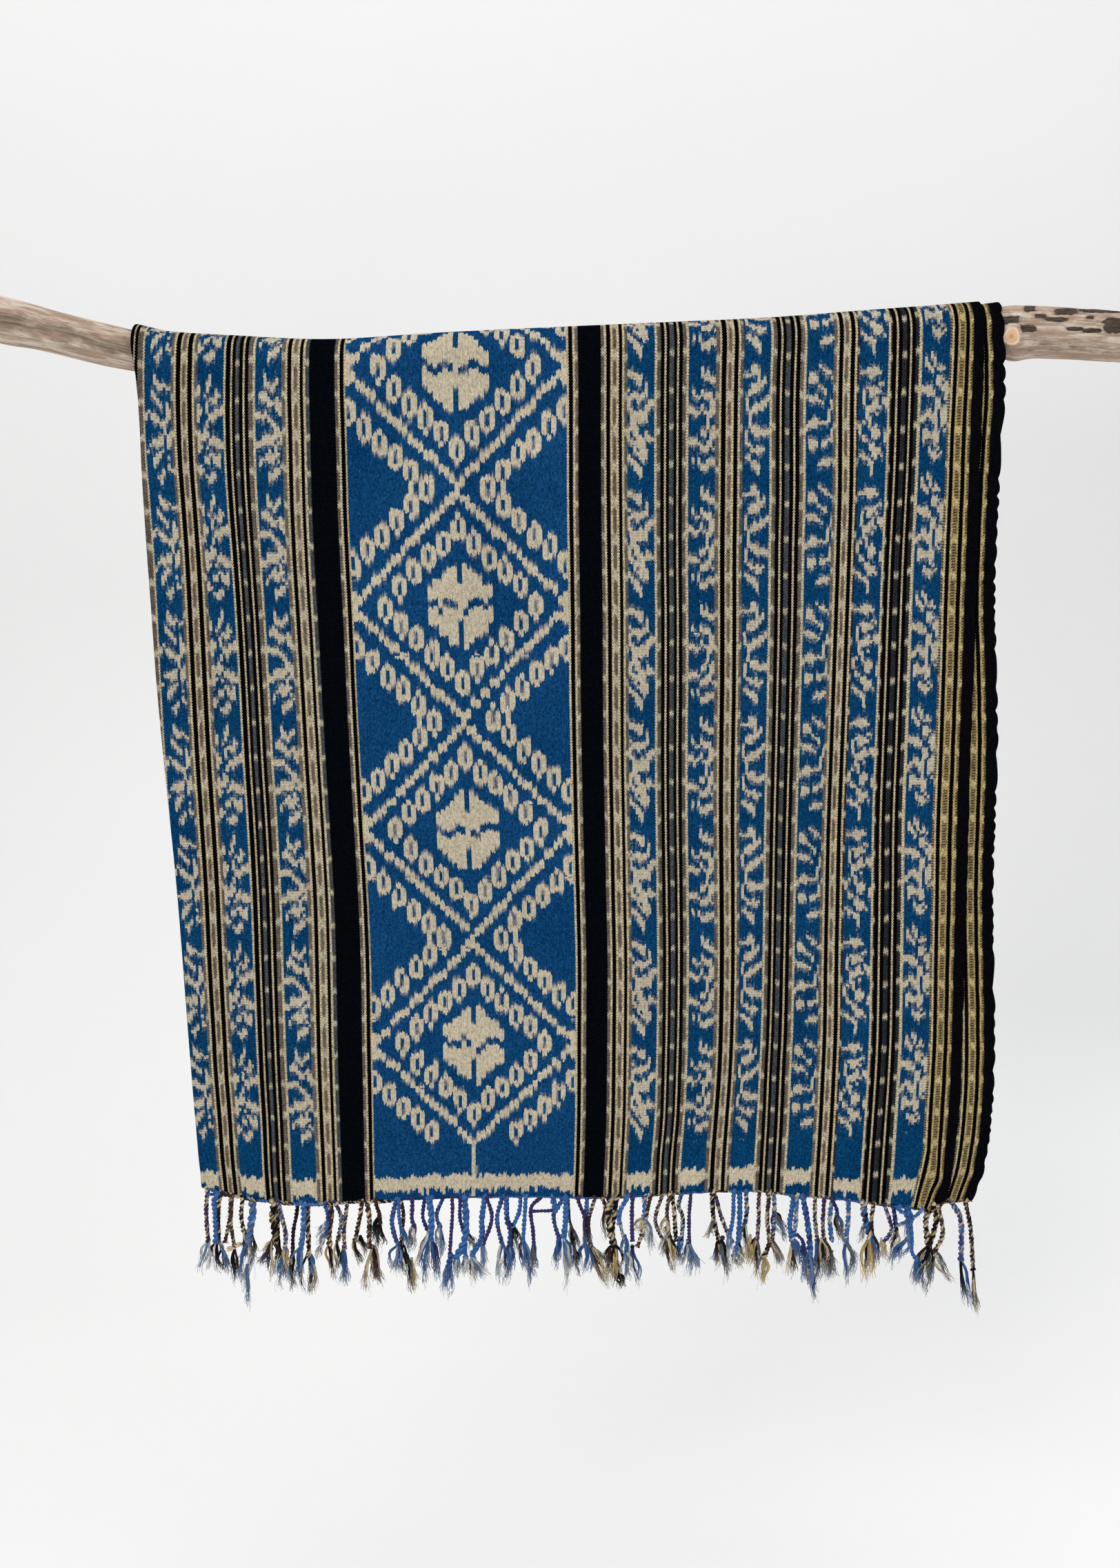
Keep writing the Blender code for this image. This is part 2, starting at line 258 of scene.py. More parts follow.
# =============================================================== node graph helper
class Graph:
    """A material's nodes, written as sums and products of values."""

    def __init__(self, name):
        self.material = bpy.data.materials.new(name)
        self.material.use_nodes = True
        self.tree = self.material.node_tree
        self.tree.nodes.clear()
        self.out = self.tree.nodes.new("ShaderNodeOutputMaterial")
        self.shader = self.tree.nodes.new("ShaderNodeBsdfPrincipled")
        self.tree.links.new(self.shader.outputs[0], self.out.inputs["Surface"])

    def node(self, kind, **settings):
        made = self.tree.nodes.new(kind)
        for key, value in settings.items():
            setattr(made, key, value)
        return made

    def put(self, socket, value):
        if isinstance(value, Value):
            self.tree.links.new(value.socket, socket)
        else:
            socket.default_value = value

    def math(self, operation, *values, clamp=False):
        made = self.node("ShaderNodeMath", operation=operation, use_clamp=clamp)
        for socket, value in zip(made.inputs, values):
            self.put(socket, value)
        return Value(self, made.outputs[0])

    def attribute(self, name, part="Fac"):
        made = self.node("ShaderNodeAttribute", attribute_name=name)
        return Value(self, made.outputs[part])

    def vector(self, x=0.0, y=0.0, z=0.0):
        made = self.node("ShaderNodeCombineXYZ")
        for socket, value in zip(made.inputs, (x, y, z)):
            self.put(socket, value)
        return Value(self, made.outputs[0])

    def noise(self, vector, scale=1.0, detail=0.0, rough=0.5):
        made = self.node("ShaderNodeTexNoise")
        self.put(made.inputs["Vector"], vector)
        made.inputs["Scale"].default_value = scale
        made.inputs["Detail"].default_value = detail
        made.inputs["Roughness"].default_value = rough
        return Value(self, made.outputs["Fac"])

    def dice(self, vector):
        """A random number for each place, the same one every time."""
        made = self.node("ShaderNodeTexWhiteNoise", noise_dimensions="3D")
        self.put(made.inputs["Vector"], vector)
        return Value(self, made.outputs["Value"])

    def ramp(self, factor, stops, interpolation="LINEAR"):
        made = self.node("ShaderNodeValToRGB")
        band = made.color_ramp
        band.interpolation = interpolation
        stops = sorted(stops, key=lambda s: s[0])
        band.elements[0].position = stops[0][0]
        band.elements[0].color = stops[0][1]
        band.elements[1].position = stops[-1][0]
        band.elements[1].color = stops[-1][1]
        for position, color in stops[1:-1]:
            band.elements.new(position).color = color
        self.put(made.inputs[0], factor)
        return Value(self, made.outputs[0]), Value(self, made.outputs[1])

    def mix(self, factor, a, b, blend="MIX"):
        made = self.node("ShaderNodeMix", data_type="RGBA", blend_type=blend)
        self.put(made.inputs[0], factor)
        self.put(made.inputs[6], a if isinstance(a, Value) else (*a, 1.0))
        self.put(made.inputs[7], b if isinstance(b, Value) else (*b, 1.0))
        return Value(self, made.outputs[2])

    def scale(self, color, by):
        made = self.node("ShaderNodeVectorMath", operation="SCALE")
        self.put(made.inputs[0], color)
        self.put(made.inputs["Scale"], by)
        return Value(self, made.outputs[0])

    def add(self, a, b):
        made = self.node("ShaderNodeVectorMath", operation="ADD")
        self.put(made.inputs[0], a)
        self.put(made.inputs[1], b)
        return Value(self, made.outputs[0])

    def split(self, color):
        made = self.node("ShaderNodeSeparateXYZ")
        self.put(made.inputs[0], color)
        return [Value(self, o) for o in made.outputs]

    def bump(self, height, strength, distance):
        made = self.node("ShaderNodeBump")
        made.inputs["Strength"].default_value = strength
        made.inputs["Distance"].default_value = distance
        self.put(made.inputs["Height"], height)
        self.put(self.shader.inputs["Normal"], Value(self, made.outputs[0]))

    def finish(self, color, roughness, specular=0.1, sheen=0.0, sheen_rough=0.5):
        """Plugs in the finish; the numbers that are the same all over stay plain."""
        self.put(self.shader.inputs["Base Color"], color)
        self.put(self.shader.inputs["Roughness"], roughness)
        self.shader.inputs["Specular IOR Level"].default_value = specular
        self.shader.inputs["Sheen Weight"].default_value = sheen
        self.shader.inputs["Sheen Roughness"].default_value = sheen_rough
        return self.material


class Value:
    def __init__(self, graph, socket):
        self.graph, self.socket = graph, socket

    def __add__(self, other):
        return self.graph.math("ADD", self, other)

    __radd__ = __add__

    def __sub__(self, other):
        return self.graph.math("SUBTRACT", self, other)

    def __rsub__(self, other):
        return self.graph.math("SUBTRACT", other, self)

    def __mul__(self, other):
        return self.graph.math("MULTIPLY", self, other)

    __rmul__ = __mul__

    def __truediv__(self, other):
        return self.graph.math("DIVIDE", self, other)

    def __gt__(self, other):
        return self.graph.math("GREATER_THAN", self, other)

    def __lt__(self, other):
        return self.graph.math("LESS_THAN", self, other)

    def __mod__(self, other):
        return self.graph.math("FLOORED_MODULO", self, other)

    def abs(self):
        return self.graph.math("ABSOLUTE", self)

    def floor(self):
        return self.graph.math("FLOOR", self)

    def round(self):
        return self.graph.math("ROUND", self)

    def sin(self):
        return self.graph.math("SINE", self)

    def max(self, other):
        return self.graph.math("MAXIMUM", self, other)

    def min(self, other):
        return self.graph.math("MINIMUM", self, other)

    def clamp(self):
        return self.graph.math("ADD", self, 0.0, clamp=True)

    def around(self, period):
        """The distance to the nearest multiple of the period, with its sign."""
        return self.graph.math("WRAP", self, period / 2, -period / 2)

    def step(self, low, high):
        """A smooth step from 0 at low to 1 at high."""
        made = self.graph.node(
            "ShaderNodeMapRange", interpolation_type="SMOOTHSTEP", clamp=True
        )
        self.graph.put(made.inputs["Value"], self)
        for name, value in (
            ("From Min", low), ("From Max", high), ("To Min", 0.0), ("To Max", 1.0),
        ):
            self.graph.put(made.inputs[name], value)
        return Value(self.graph, made.outputs[0])


def srgb(r, g, b):
    """A colour as it shows, 0 to 255, as linear light."""
    def one(c):
        c /= 255.0
        return c / 12.92 if c <= 0.04045 else ((c + 0.055) / 1.055) ** 2.4
    return one(r), one(g), one(b)


# =============================================================== the warp
THREAD = 0.52  # mm, one warp yarn
PICKS = 2.03   # mm, two weft picks

# The order of the warp from the mirror line at the cloth's middle out to the
# selvedge: where a group of plain and tied stripes starts across the cloth, in mm,
# and each stripe's yarn with its number of warp yarns.  The patterned blue bands
# lie between the groups.
YARN = {
    # colour as it shows, and how much of its length is tied off and stays cream
    "cream": ((194, 180, 148), 0.2),
    "gold": ((181, 161, 110), 0.2),
    "black": ((8, 5, 6), 0.2),
    "coal": ((6, 9, 14), 0.2),
    "edge": ((10, 11, 15), 0.2),
    "smoke": ((64, 68, 70), 0.40),
    "dusk": ((36, 40, 42), 0.42),
    "ash": ((90, 82, 73), 0.45),
    "bark": ((42, 32, 28), 0.42),
    "tan": ((96, 86, 74), 0.60),
    "lees": ((132, 118, 95), 0.80),
    "moss": ((52, 42, 30), 0.50),
}
WARP = (
    (0.0, "black 4 cream 2 black 4 ash 7 cream 2"),
    (28.6, "ash 4 cream 3 black 6 cream 2 lees 1 tan 4 lees 1 cream 2 black 6 cream 3 "
           "ash 4"),
    (66.5, "cream 3 black 6 cream 3 black 4 smoke 5 black 5 cream 3 black 5 ash 6 "
           "cream 3"),
    (107.6, "ash 5 cream 3 black 5 cream 3 lees 1 tan 4 lees 1 cream 3 black 4 cream 3 "
            "smoke 5 coal 35 ash 4 cream 3 black 5 cream 2"),
    (305.8, "cream 3 black 5 cream 3 ash 4 coal 31 ash 4 cream 3 black 5 cream 3 "
            "lees 1 tan 4 lees 1 cream 3 black 4 cream 3 ash 4"),
    (367.2, "cream 3 ash 5 black 5 cream 3 black 4 smoke 6 black 4 cream 3 black 5 "
            "ash 5 cream 3"),
    (410.2, "ash 5 cream 3 black 6 cream 2 lees 1 tan 4 lees 1 cream 3 black 5 cream 3 "
            "ash 4"),
    (448.0, "cream 3 ash 5 black 5 cream 3 black 4 smoke 6 black 5 cream 3 black 5 "
            "ash 5 cream 3"),
    (491.0, "ash 4 cream 3 black 5 cream 2 lees 1 tan 3 lees 1 cream 3 black 5 cream 3 "
            "bark 3"),
    (527.2, "cream 3 bark 2 black 5 cream 3 black 5 dusk 6 black 4 cream 3 black 5 "
            "dusk 5 cream 4"),
    (570.4, "bark 3 cream 3 black 5 gold 3 moss 6 gold 2 black 5 gold 3 moss 3 edge 24"),
)

# The nine narrow blue bands: where each starts across the cloth, how far the tied
# stripe at the cut end lies from that end (its middle), both in mm.
BANDS = (
    ("A", 10.1, 9.0), ("B", 47.5, 11.0), ("C", 89.0, 12.2), ("D", 348.0, 12.5),
    ("E", 391.5, 13.0), ("F", 429.0, 13.5), ("G", 472.5, 16.0), ("H", 508.5, 11.0),
    ("I", 550.8, 17.0),
)
BAND_WIDE = 18.9
REPEAT = 82.7  # mm along the cloth, one sprig with its gap
# One repeat of each band, charted as a weaver's graph: nine bundles of warp
# across, thirty-two ties along.  A vine with six leaves, turned differently in each.
SPRIGS = {
    "A": """......... ...#..... ...##.... ...####.. ....##.## ..#...... ..##.....
            ...##.... ....##.#. .....#.#. .#.....## #.##...## #.###..## ...#####.
            .....##.. ......#.. ......#.# ....##.## ..####.## .#####.## ...#...#.
            #...##... ...##.... ..##...#. ..##..... ..#....#. .....#.## ....##...
            ...##.... ....#.... ......... .........""",
    "B": """......... ....#.... ....#.... ...##.... #..#..... #..#..#.. #.#...##.
            ....###.. ...#.##.. #..#....# ##.#..### ##..##### #...###.. #..#.#...
            ...#..... ..#...... #.##..... ####.#... ###.####. #...##### ##.#..###
            #........ ....##.#. ..##.###. ..##.###. #.....##. ##....... #...##...
            ..####... ...##.... ......... .........""",
    "C": """......... ...#..... ...#...#. ...##.##. ...####.. ..#..#... .###.....
            .####..#. ...###### ....##.## .......## ####....# #####.... ....##...
            .....##.. ......##. ......### ..####### ..#####.# ######.## ##....#..
            ....#.#.. ...#####. ..#####.. .#..##.#. .#......# ......##. ....####.
            ....###.. ....#.... ......... .........""",
    "D": """......... ##....... #####.... ..###.... ...##.#.. ......#.. #.....#..
            .######.. ######... #..#...## #.....### ##..#.##. .######.. .######..
            .######.. .##...... ####..... #.##..#.. #.###.##. ##.###### .#####...
            ..####... ..#.###.. #..####.. ##..###.. .##..#... ..##..... ..###....
            ...##.... ....#.... ......... .........""",
    "E": """....#.... ....#.#.. ....###.. .....#### .......## ......... .#..#....
            .#..####. ..##.###. .......## ....#..## ##..#..## ####.#### ..#...##.
            ......#.. ......#.. ......#.# ....##.## ....##.## ###....## ####..##.
            ....####. ....###.# ......... .#.#..... .#.#..### ....##### ....###..
            ......... ......... ......... .........""",
    "F": """...##.... ...###... ######... .....#.#. .....###. ...####.. ..####...
            ..###.... .#......# .#....### .#..####. .#.####.. ..###.... ..#......
            ..#...... ..#...... ..####... .#.###### .#..##### .#....... .#.......
            ..##.#... ...#####. .....##.. .##...... ..###.... ...###... ....##...
            .....#... ......... ......... .........""",
    "G": """....#.... .....##.. .##...##. .###....# .###..... ....#.... .....##..
            ......#.. ####..... .####...# .....#..# ........# .......#. .......#.
            ..##...#. .#######. ####..... #.......# ........# ........# .###.####
            .###.##.. .##...... ......... ......... .....#### ....####. .........
            ......... ......... ......... .........""",
    "H": """......... ..####... #######.. ...##.... ......... ......##. ..####...
            .#.####.. .#.##.... .#...#.## .#..##.## ..#####.# ..###.... ..#..#...
            ..##..... .#.#..... #..#.#... #...###.. #...###.# .#..##..# .##.....#
            ...##.... ...####.. ....###.. ##..##.#. .###..... ...##.... ....#....
            ....#.... ....#.... ......... .........""",
    "I": """...#..... .#.##.... .#..#.... .##.#.#.. ..##.###. ...#..... .....##..
            .....###. .....##.# ####...## #####..## ..###...# .....##.# .....##..
            .....##.# ..##.#.## .#####.## ##.###.## #...##.## .....#.#. .##..#..#
            .######.. .######.. .#...##.. .....#... ...#..#.. ...###.#. ....###..
            .....#... ......... ......... .........""",
}
SPRIG_START = 129.0  # mm down the front where a repeat starts, and of the last band
SPRIG_START_I = 121.6

MIDDLE = 229.05     # mm across, the middle of the wide patterned band
BUNDLE = 3.57       # mm, one tied bundle there
DIAMOND = 165.3     # mm, one diamond of the wide band
DIAMOND_AT = 46.5   # mm down the front, the middle of the first
# How far the gap across each medallion steps from its middle, bundle by bundle, mm.
GAP_STEPS = (-1.5, 0.5, 2.0, 0.5, -3.0, 1.5, 0.0, 3.0, 0.5, -1.5, -2.5, -2.0, -1.0)


def make_ikat():
    g = Graph("ikat_cotton")
    c = (g.attribute("across") * 1000.0).abs()
    t = g.attribute("along") * 1000.0
    ends = g.attribute("ends") * 1000.0

    # each warp yarn and its own small shifts: dyed warps never line up quite
    yarn = (c / THREAD).floor()
    yarn_mid = (yarn + 0.5) * THREAD
    roll = g.dice(g.vector(yarn, 3.0, 0.0))
    roll2 = g.dice(g.vector(yarn, 11.0, 0.0))
    drift = g.noise(g.vector(yarn * 0.37, t / 38.0, 2.0), 1.0)

    # ---------------------------------------------------------- plain and tied stripes
    wave = (t * (2 * math.pi / PICKS) + (c / THREAD).round() * math.pi).sin()
    warp_c = c + (wave * 1.5).max(-1.0).min(1.0) * 0.29
    stripes = present = None
    for start, order in WARP:
        words = order.split()
        first = round(start / THREAD) * THREAD
        counts = [float(n) for n in words[1::2]]
        # a pale line sinks a little between thicker dark ones
        for k, name in enumerate(words[::2]):
            for other in (k - 1, k + 1):
                if name in ("cream", "gold") and 0 <= other < len(counts) and (
                        words[2 * other] in ("black", "coal", "edge")):
                    counts[k] -= 0.35
                    counts[other] += 0.35
        span = sum(counts) * THREAD
        pad = 0.03
        stops, place = [(0.0, (0, 0, 0, 0))], 0
        for name, count in zip(words[::2], counts):
            color, tied = YARN[name]
            where = pad + place * THREAD / span * (1 - 2 * pad)
            stops.append((where, (*srgb(*color), tied)))
            place += count
        stops.append((1 - pad, (0, 0, 0, 0)))
        factor = (warp_c - first) * ((1 - 2 * pad) / span) + pad
        color, code = g.ramp(factor, stops, "CONSTANT")
        stripes = color if stripes is None else g.add(stripes, color)
        present = code if present is None else present + code
    is_stripe = present > 0.1
    dashed = present > 0.3
    far = (c - 555.0).step(0.0, 12.0)

    # yarns of one stripe were never dyed quite alike, and the outer stripes are
    # woven with a paler yarn that shows between the dark ones
    stripes = g.scale(stripes, (roll * 0.56 - 0.28) * dashed + 1.0)
    hatch = ((t * (2 * math.pi / PICKS) + roll * 1.2).sin() * 0.5 + 0.5) * far * dashed
    stripes = g.mix(hatch * 0.50, stripes, srgb(176, 156, 106))

    # a pale line is dotted by the dark weft that crosses it
    dots = ((t * (2 * math.pi / PICKS) + 1.1).sin() * 0.5 + 0.5) * (is_stripe - dashed)
    stripes = g.scale(stripes, 1.0 - dots * 0.30)

    # tied lengths in the dashed stripes, about every 25 mm
    phase = (c * 0.11).sin() * 2.6 + 39.5
    away = ((t - phase) + (roll - 0.5) * 1.6 + (drift - 0.5) * 3.0).around(25.4).abs()
    tied_half = (present - 0.2).max(0.0) * 9.6
    dash = (tied_half + 1.5 - away).step(0.0, 3.0) * dashed
    dash_color = g.mix(far, srgb(170, 160, 136), srgb(178, 160, 113))
    stripes = g.mix(dash * 0.92, stripes, dash_color)

    # ---------------------------------------------------------- the wide blue band
    d = yarn_mid - MIDDLE
    column = (d / BUNDLE).round()
    inside = ((d / BUNDLE) - column) * 2.0
    sway = g.noise(g.vector(column * 1.7, t / 60.0, 7.0), 1.0) - 0.5
    nudge = g.dice(g.vector(column, (t / 55.0).round(), 5.0)) - 0.5
    at = t + sway * 4.6 + nudge * 4.2 + (roll - 0.5) * 1.7
    z = (at - DIAMOND_AT).around(DIAMOND)
    az = z.abs()
    ab = column.abs()
    bead = (ab / 3.0 + 0.01).round()
    centre = (ab - bead * 3.0).abs() < 0.5
    side = 1.0 - centre
    outward = ((ab - bead * 3.0) * inside * g.math("SIGN", d)).max(0.0)
    beside_hole = (inside.abs() * (BUNDLE / 2) - 1.18) * 2.0

    def beads(rise, tall, hole, low, valid):
        """How far inside a chain of beads this is: a hollow middle bundle, and a
        shorter one on each side of it."""
        off = (az - rise).abs()
        middle = (tall - off).min((off - hole).max(beside_hole))
        flank = low - off - outward * 2.2
        return (middle * centre + flank * side) - (1.0 - valid) * 60.0

    inner_rise = (55.0 - bead * 10.3) * (bead < 4.5)
    inner = beads(inner_rise, 9.4 + (bead > 4.5) * 1.0, 4.7, 7.1, bead < 5.5)
    outer = beads(101.5 - bead * 10.3, 9.4, 4.7, 7.1, bead > 2.5)
    lone = beads(DIAMOND / 2, 10.4, 5.0, 7.6, (bead - 2.0).abs() < 0.5)
    link = (az - 76.0) - ((ab - 9.0).abs() > 0.5) * 60.0
    line = 3.3 - (az - (80.0 - ab * (BUNDLE * 80.0 / 77.0))).abs()
    tip = (az - 77.0) - (ab > 0.5) * 60.0
    rim = (11.0 - az) - (ab < 20.5) * 60.0

    steps = [
        ((n + 0.02) / 13, (v / 10 + 0.5,) * 3 + (1.0,)) for n, v in enumerate(GAP_STEPS)
    ]
    gap_mid, _ = g.ramp((column + 6.5) / 13.0, steps, "CONSTANT")
    gap_mid = (g.split(gap_mid)[0] - 0.5) * 10.0
    gap = 2.9 - (z - gap_mid).abs()
    lobes = (33.9 - ab * 3.4 - az) - (ab > 6.5) * 60.0
    slit = (13.0 - az) + (ab > 0.5) * 60.0
    medal = lobes.min(gap * -1.0 + (ab < 0.5) * 60.0).min(slit)

    shape = inner.max(outer).max(line).max(rim).max(medal)
    low_end = ends - 43.0
    shape = shape.max(lone.max(link).max(tip).min(ends - 60.0)).min(low_end)
    # a bundle's outer yarns are tied a little shorter, and no two quite alike
    shape = shape - inside * inside * 1.1 + (roll2 - 0.5) * 1.5 + 0.25
    stem = (1.4 - (d + 0.3).abs()).min(44.0 - ends) - (t < 0.0) * 60.0
    shape = shape.max(stem)
    in_middle = (c > 152.1) * (c < 305.9)

    # ---------------------------------------------------------- the narrow blue bands
    starts = [b[1] for b in BANDS]
    between = [
        (a + BAND_WIDE + b) / 2 if k != 2 else 229.0
        for k, (a, b) in enumerate(zip(starts, starts[1:]))
    ]
    above = [c > place for place in between]

    def by_band(numbers):
        """A number that changes from band to band."""
        total = None
        for k, gate in enumerate(above):
            part = gate * (numbers[k + 1] - numbers[k])
            total = part if total is None else total + part
        return total + numbers[0]

    band_start = by_band(starts)
    end_middle = by_band([b[2] for b in BANDS])
    slant = g.noise(g.vector(c / 30.0, t / 14.0, 13.0), 1.0) - 0.5
    local = (yarn_mid - band_start) * (9.0 / BAND_WIDE) + slant * 0.9
    col = local.floor().max(0.0).min(8.0)
    inside_n = (local - col) * 2.0 - 1.0
    sway_n = g.noise(g.vector(col * 2.3 + band_start, t / 45.0, 1.0), 1.0) - 0.5
    at_n = t + sway_n * 3.6 + (roll2 - 0.5) * 1.3
    last = above[-1]
    row = ((at_n - SPRIG_START) + last * (SPRIG_START - SPRIG_START_I)) / REPEAT

    codes = {}
    for name, chart in SPRIGS.items():
        rows = chart.split()
        codes[name] = [int(r.replace("#", "1").replace(".", "0"), 2) / 512 for r in rows]
    names = [b[0] for b in BANDS]

    def charted(shift):
        """1 where the chart has a tie at this place, shifted along by shift."""
        place = (row + shift / REPEAT) % 1.0
        channels = []
        for trio in (names[0:3], names[3:6], names[6:9]):
            stops = [
                (n / 32, (codes[trio[0]][n], codes[trio[1]][n], codes[trio[2]][n], 1))
                for n in range(32)
            ]
            color, _ = g.ramp(place, stops, "CONSTANT")
            channels += g.split(color)
        total = None
        for k, gate in enumerate(above):
            part = gate * (channels[k + 1] - channels[k])
            total = part if total is None else total + part
        number = (total + channels[0]) * 512.0 + 0.25
        power = g.math("POWER", 2.0, 8.0 - col)
        return (number / power).floor() % 2.0

    shorter = inside_n * inside_n * 0.75 + (roll - 0.5) * 1.3 + 0.05
    tie_a, tie_b = charted(shorter), charted(shorter * -1.0)
    both = tie_a * tie_b
    rungs = (t * (2 * math.pi / PICKS) + 0.8).sin().step(-0.3, 0.5) * 0.62 + 0.06
    narrow = both.max((tie_a + tie_b) * rungs) * (row < 5.99)

    # a faint stain of half-dyed yarn round the ties
    near_tie = charted(shorter + 2.6).max(charted(shorter * -1.0 - 2.6)) * (row < 5.99)

    # ---------------------------------------------------------- blue and undyed yarn
    crisp = shape.step(-0.35, 0.35)
    blotch = g.noise(g.vector(c / 7.0, t / 16.0, 3.0), 1.0, 1.0)
    halo = shape.step(-3.4, -0.2) * (blotch - 0.50).step(0.0, 0.1) * 0.48
    wide = crisp.max(halo)
    stain = (g.noise(g.vector(c / 2.2, t / 4.5, 23.0), 1.0, 1.0) - 0.47).step(0.0, 0.14)
    narrow = narrow.max(near_tie * stain * 0.30)
    tied = wide * in_middle + narrow * (1.0 - in_middle) * 0.85
    # the tied stripe near each cut end
    end_at = end_middle * (1.0 - in_middle) + in_middle * 12.0
    ragged = (g.dice(g.vector((c / 2.1).floor(), 1.0, 1.0)) - 0.5) * 5.6
    low_rag = (g.dice(g.vector((c / 2.1 + 0.4).floor(), 8.0, 1.0)) - 0.5) * 6.5
    rag = ragged + (roll - 0.5) * 2.8
    below = (end_at - 6.4) + low_rag + (roll2 - 0.5) * 2.4
    end_tie = (end_at + 6.2 + rag * 0.8 - ends).min(ends - below).step(-0.5, 0.5)
    tied = tied.max(end_tie)

    streak = g.noise(g.vector(yarn * 0.71, t / 70.0, 4.0), 1.0, 1.0)
    cloud = g.noise(g.vector(c / 45.0, t / 60.0, 9.0), 1.0, 2.0)
    blot = g.noise(g.vector(c / 1.5, t / 3.2, 16.0), 1.0, 1.0)
    cell = g.dice(g.vector(yarn, (t / (PICKS / 2)).floor(), 7.0))
    clump = g.dice(g.vector((c / 1.1 + 0.3).floor(), (t / 1.6).floor(), 19.0))
    over = (t * (2 * math.pi / PICKS) + yarn * math.pi).sin()
    blue = g.mix(
        (streak * 0.6 + cloud * 0.9 - 0.25).clamp(), srgb(3, 50, 92), srgb(23, 73, 118)
    )
    blue = g.mix((blot - 0.55).step(0.0, 0.25) * 0.30, blue, srgb(52, 102, 142))
    tint = g.mix(in_middle, (0.59, 0.82, 0.79), (0.94, 0.94, 0.94))
    blue = g.mix(1.0, blue, tint, "MULTIPLY")
    pale = g.mix(
        (streak * 0.6 + cloud * 0.6 - 0.1).clamp(), srgb(170, 159, 137), srgb(205, 193, 168)
    )
    pale = g.mix((0.50 - blot).step(0.0, 0.25) * 0.36, pale, srgb(130, 120, 101))
    band = g.mix(tied, blue, pale)

    # every float of warp catches the light a little differently
    color = g.mix(is_stripe, band, stripes)
    soft = 1.0 - tied * (1.0 - is_stripe) * 0.5
    gain = ((cell - 0.5) * 0.84 + (clump - 0.5) * 0.44) * soft + over * 0.10 + 1.0
    gain = gain * (blot * 0.24 + 0.88)
    tone = g.noise(g.vector(c / 90.0, t / 120.0, 0.0), 1.0, 1.0) * 0.16 + 0.92
    color = g.scale(color, gain * tone)

    # ---------------------------------------------------------- the weave's relief
    c2 = (g.attribute("across") * 1000.0).abs()
    t2 = g.attribute("along") * 1000.0
    rib = (c2 * (math.pi / THREAD)).sin().abs()
    over2 = (t2 * (2 * math.pi / PICKS) + (c2 / THREAD).floor() * math.pi).sin()
    fuzz = g.noise(g.vector(c2 / 0.45, t2 / 0.7, 0.0), 1.0, 1.0)
    pucker = g.noise(g.vector(c2 / 9.0, t2 / 3.4, 5.0), 1.0, 2.0)
    height = rib * (over2 * 0.34 + 0.66) * 0.55 + fuzz * 0.5 + pucker * 1.1
    g.bump(height, 0.6, 0.00045)
    return g.finish(color, 0.95, specular=0.0)


# =============================================================== mesh helpers
def add_object(name, points, faces, material, attributes=(), smooth_faces=True):
    mesh = bpy.data.meshes.new(name)
    mesh.from_pydata([tuple(p) for p in points], [], faces)
    mesh.update()
    for key, kind, values in attributes:
        layer = mesh.attributes.new(key, kind, "POINT")
        if kind == "FLOAT":
            layer.data.foreach_set("value", np.asarray(values, np.float32))
        else:
            layer.data.foreach_set("color", np.asarray(values, np.float32).ravel())
    if smooth_faces:
        mesh.shade_smooth()
    mesh.materials.append(material)
    obj = bpy.data.objects.new(name, mesh)
    scene.collection.objects.link(obj)
    return obj


def lines_at(part, z, share):
    """Where the cloth's edges and yarns run at this height: the fold, the selvedges,
    how much cloth lies between the mirror line and the fold, and x of each yarn."""
    z = min(z, -0.030)
    table = BACK_EDGES if part == "back" else FRONT_EDGES
    fold, upper, under = (along(table, k, z) for k in (1, 2, 3))
    if part == "back":
        z = -0.030
    yarns = [along(YARN_LINES, k, z) for k in range(1, len(YARNS_AT) + 1)]
    turn_x = fold + CLOTH_THICK / 2 + LAYER_STEP / 2
    if part == "back":
        at_fold = -0.7 + 6.0 * share
    else:
        at_fold = YARNS_AT[0] - (yarns[0] - turn_x) * 1000.0 / 0.985 - 1.57
    return upper, under, turn_x, at_fold, yarns


# =============================================================== the cloth
FRONT_ROWS, OVER_ROWS, BACK_ROWS = 216, 16, 78
SELVEDGE = 595.25  # mm from the middle
UPPER = [595.25, 594.4, 593.0, 591.0, 589.0, 587.2, 585.2, 582.6, 579.0, 575.0, 570.0]
UPPER += list(np.linspace(564.0, 26.0, 60)) + [20.0]
UNDER = [15.0] + list(np.linspace(22.0, 566.0, 56))
UNDER += [575.0, 581.0, 585.5, 588.8, 591.2, 593.0, 594.4, 595.25]
FOLD_TURN = 6


def scallop(s, seed):
    """The wavy edge where the weft turns round the selvedge: 0 to 1."""
    swing = s / 0.0135 + 0.9 * math.sin(s * 31.0 + seed) + 0.4 * math.sin(s * 83.0)
    return abs(math.sin(math.pi * swing)) ** 0.6


# soft creases just under the branch: x, half width, depth
CREASES = (
    (0.183, 0.0045, 0.0009), (0.192, 0.0040, -0.0007), (0.262, 0.0050, 0.0006),
    (0.271, 0.0040, -0.0005), (0.640, 0.0050, 0.0005),
)

HEMS = {}  # the two layers' cut edges of each part, from left to right


def hem_point(part, layer, x):
    """The point of a layer's cut edge at this x."""
    xs, ys, zs = HEMS[part, layer]
    return Vector((x, float(np.interp(x, xs, ys)), float(np.interp(x, xs, zs))))


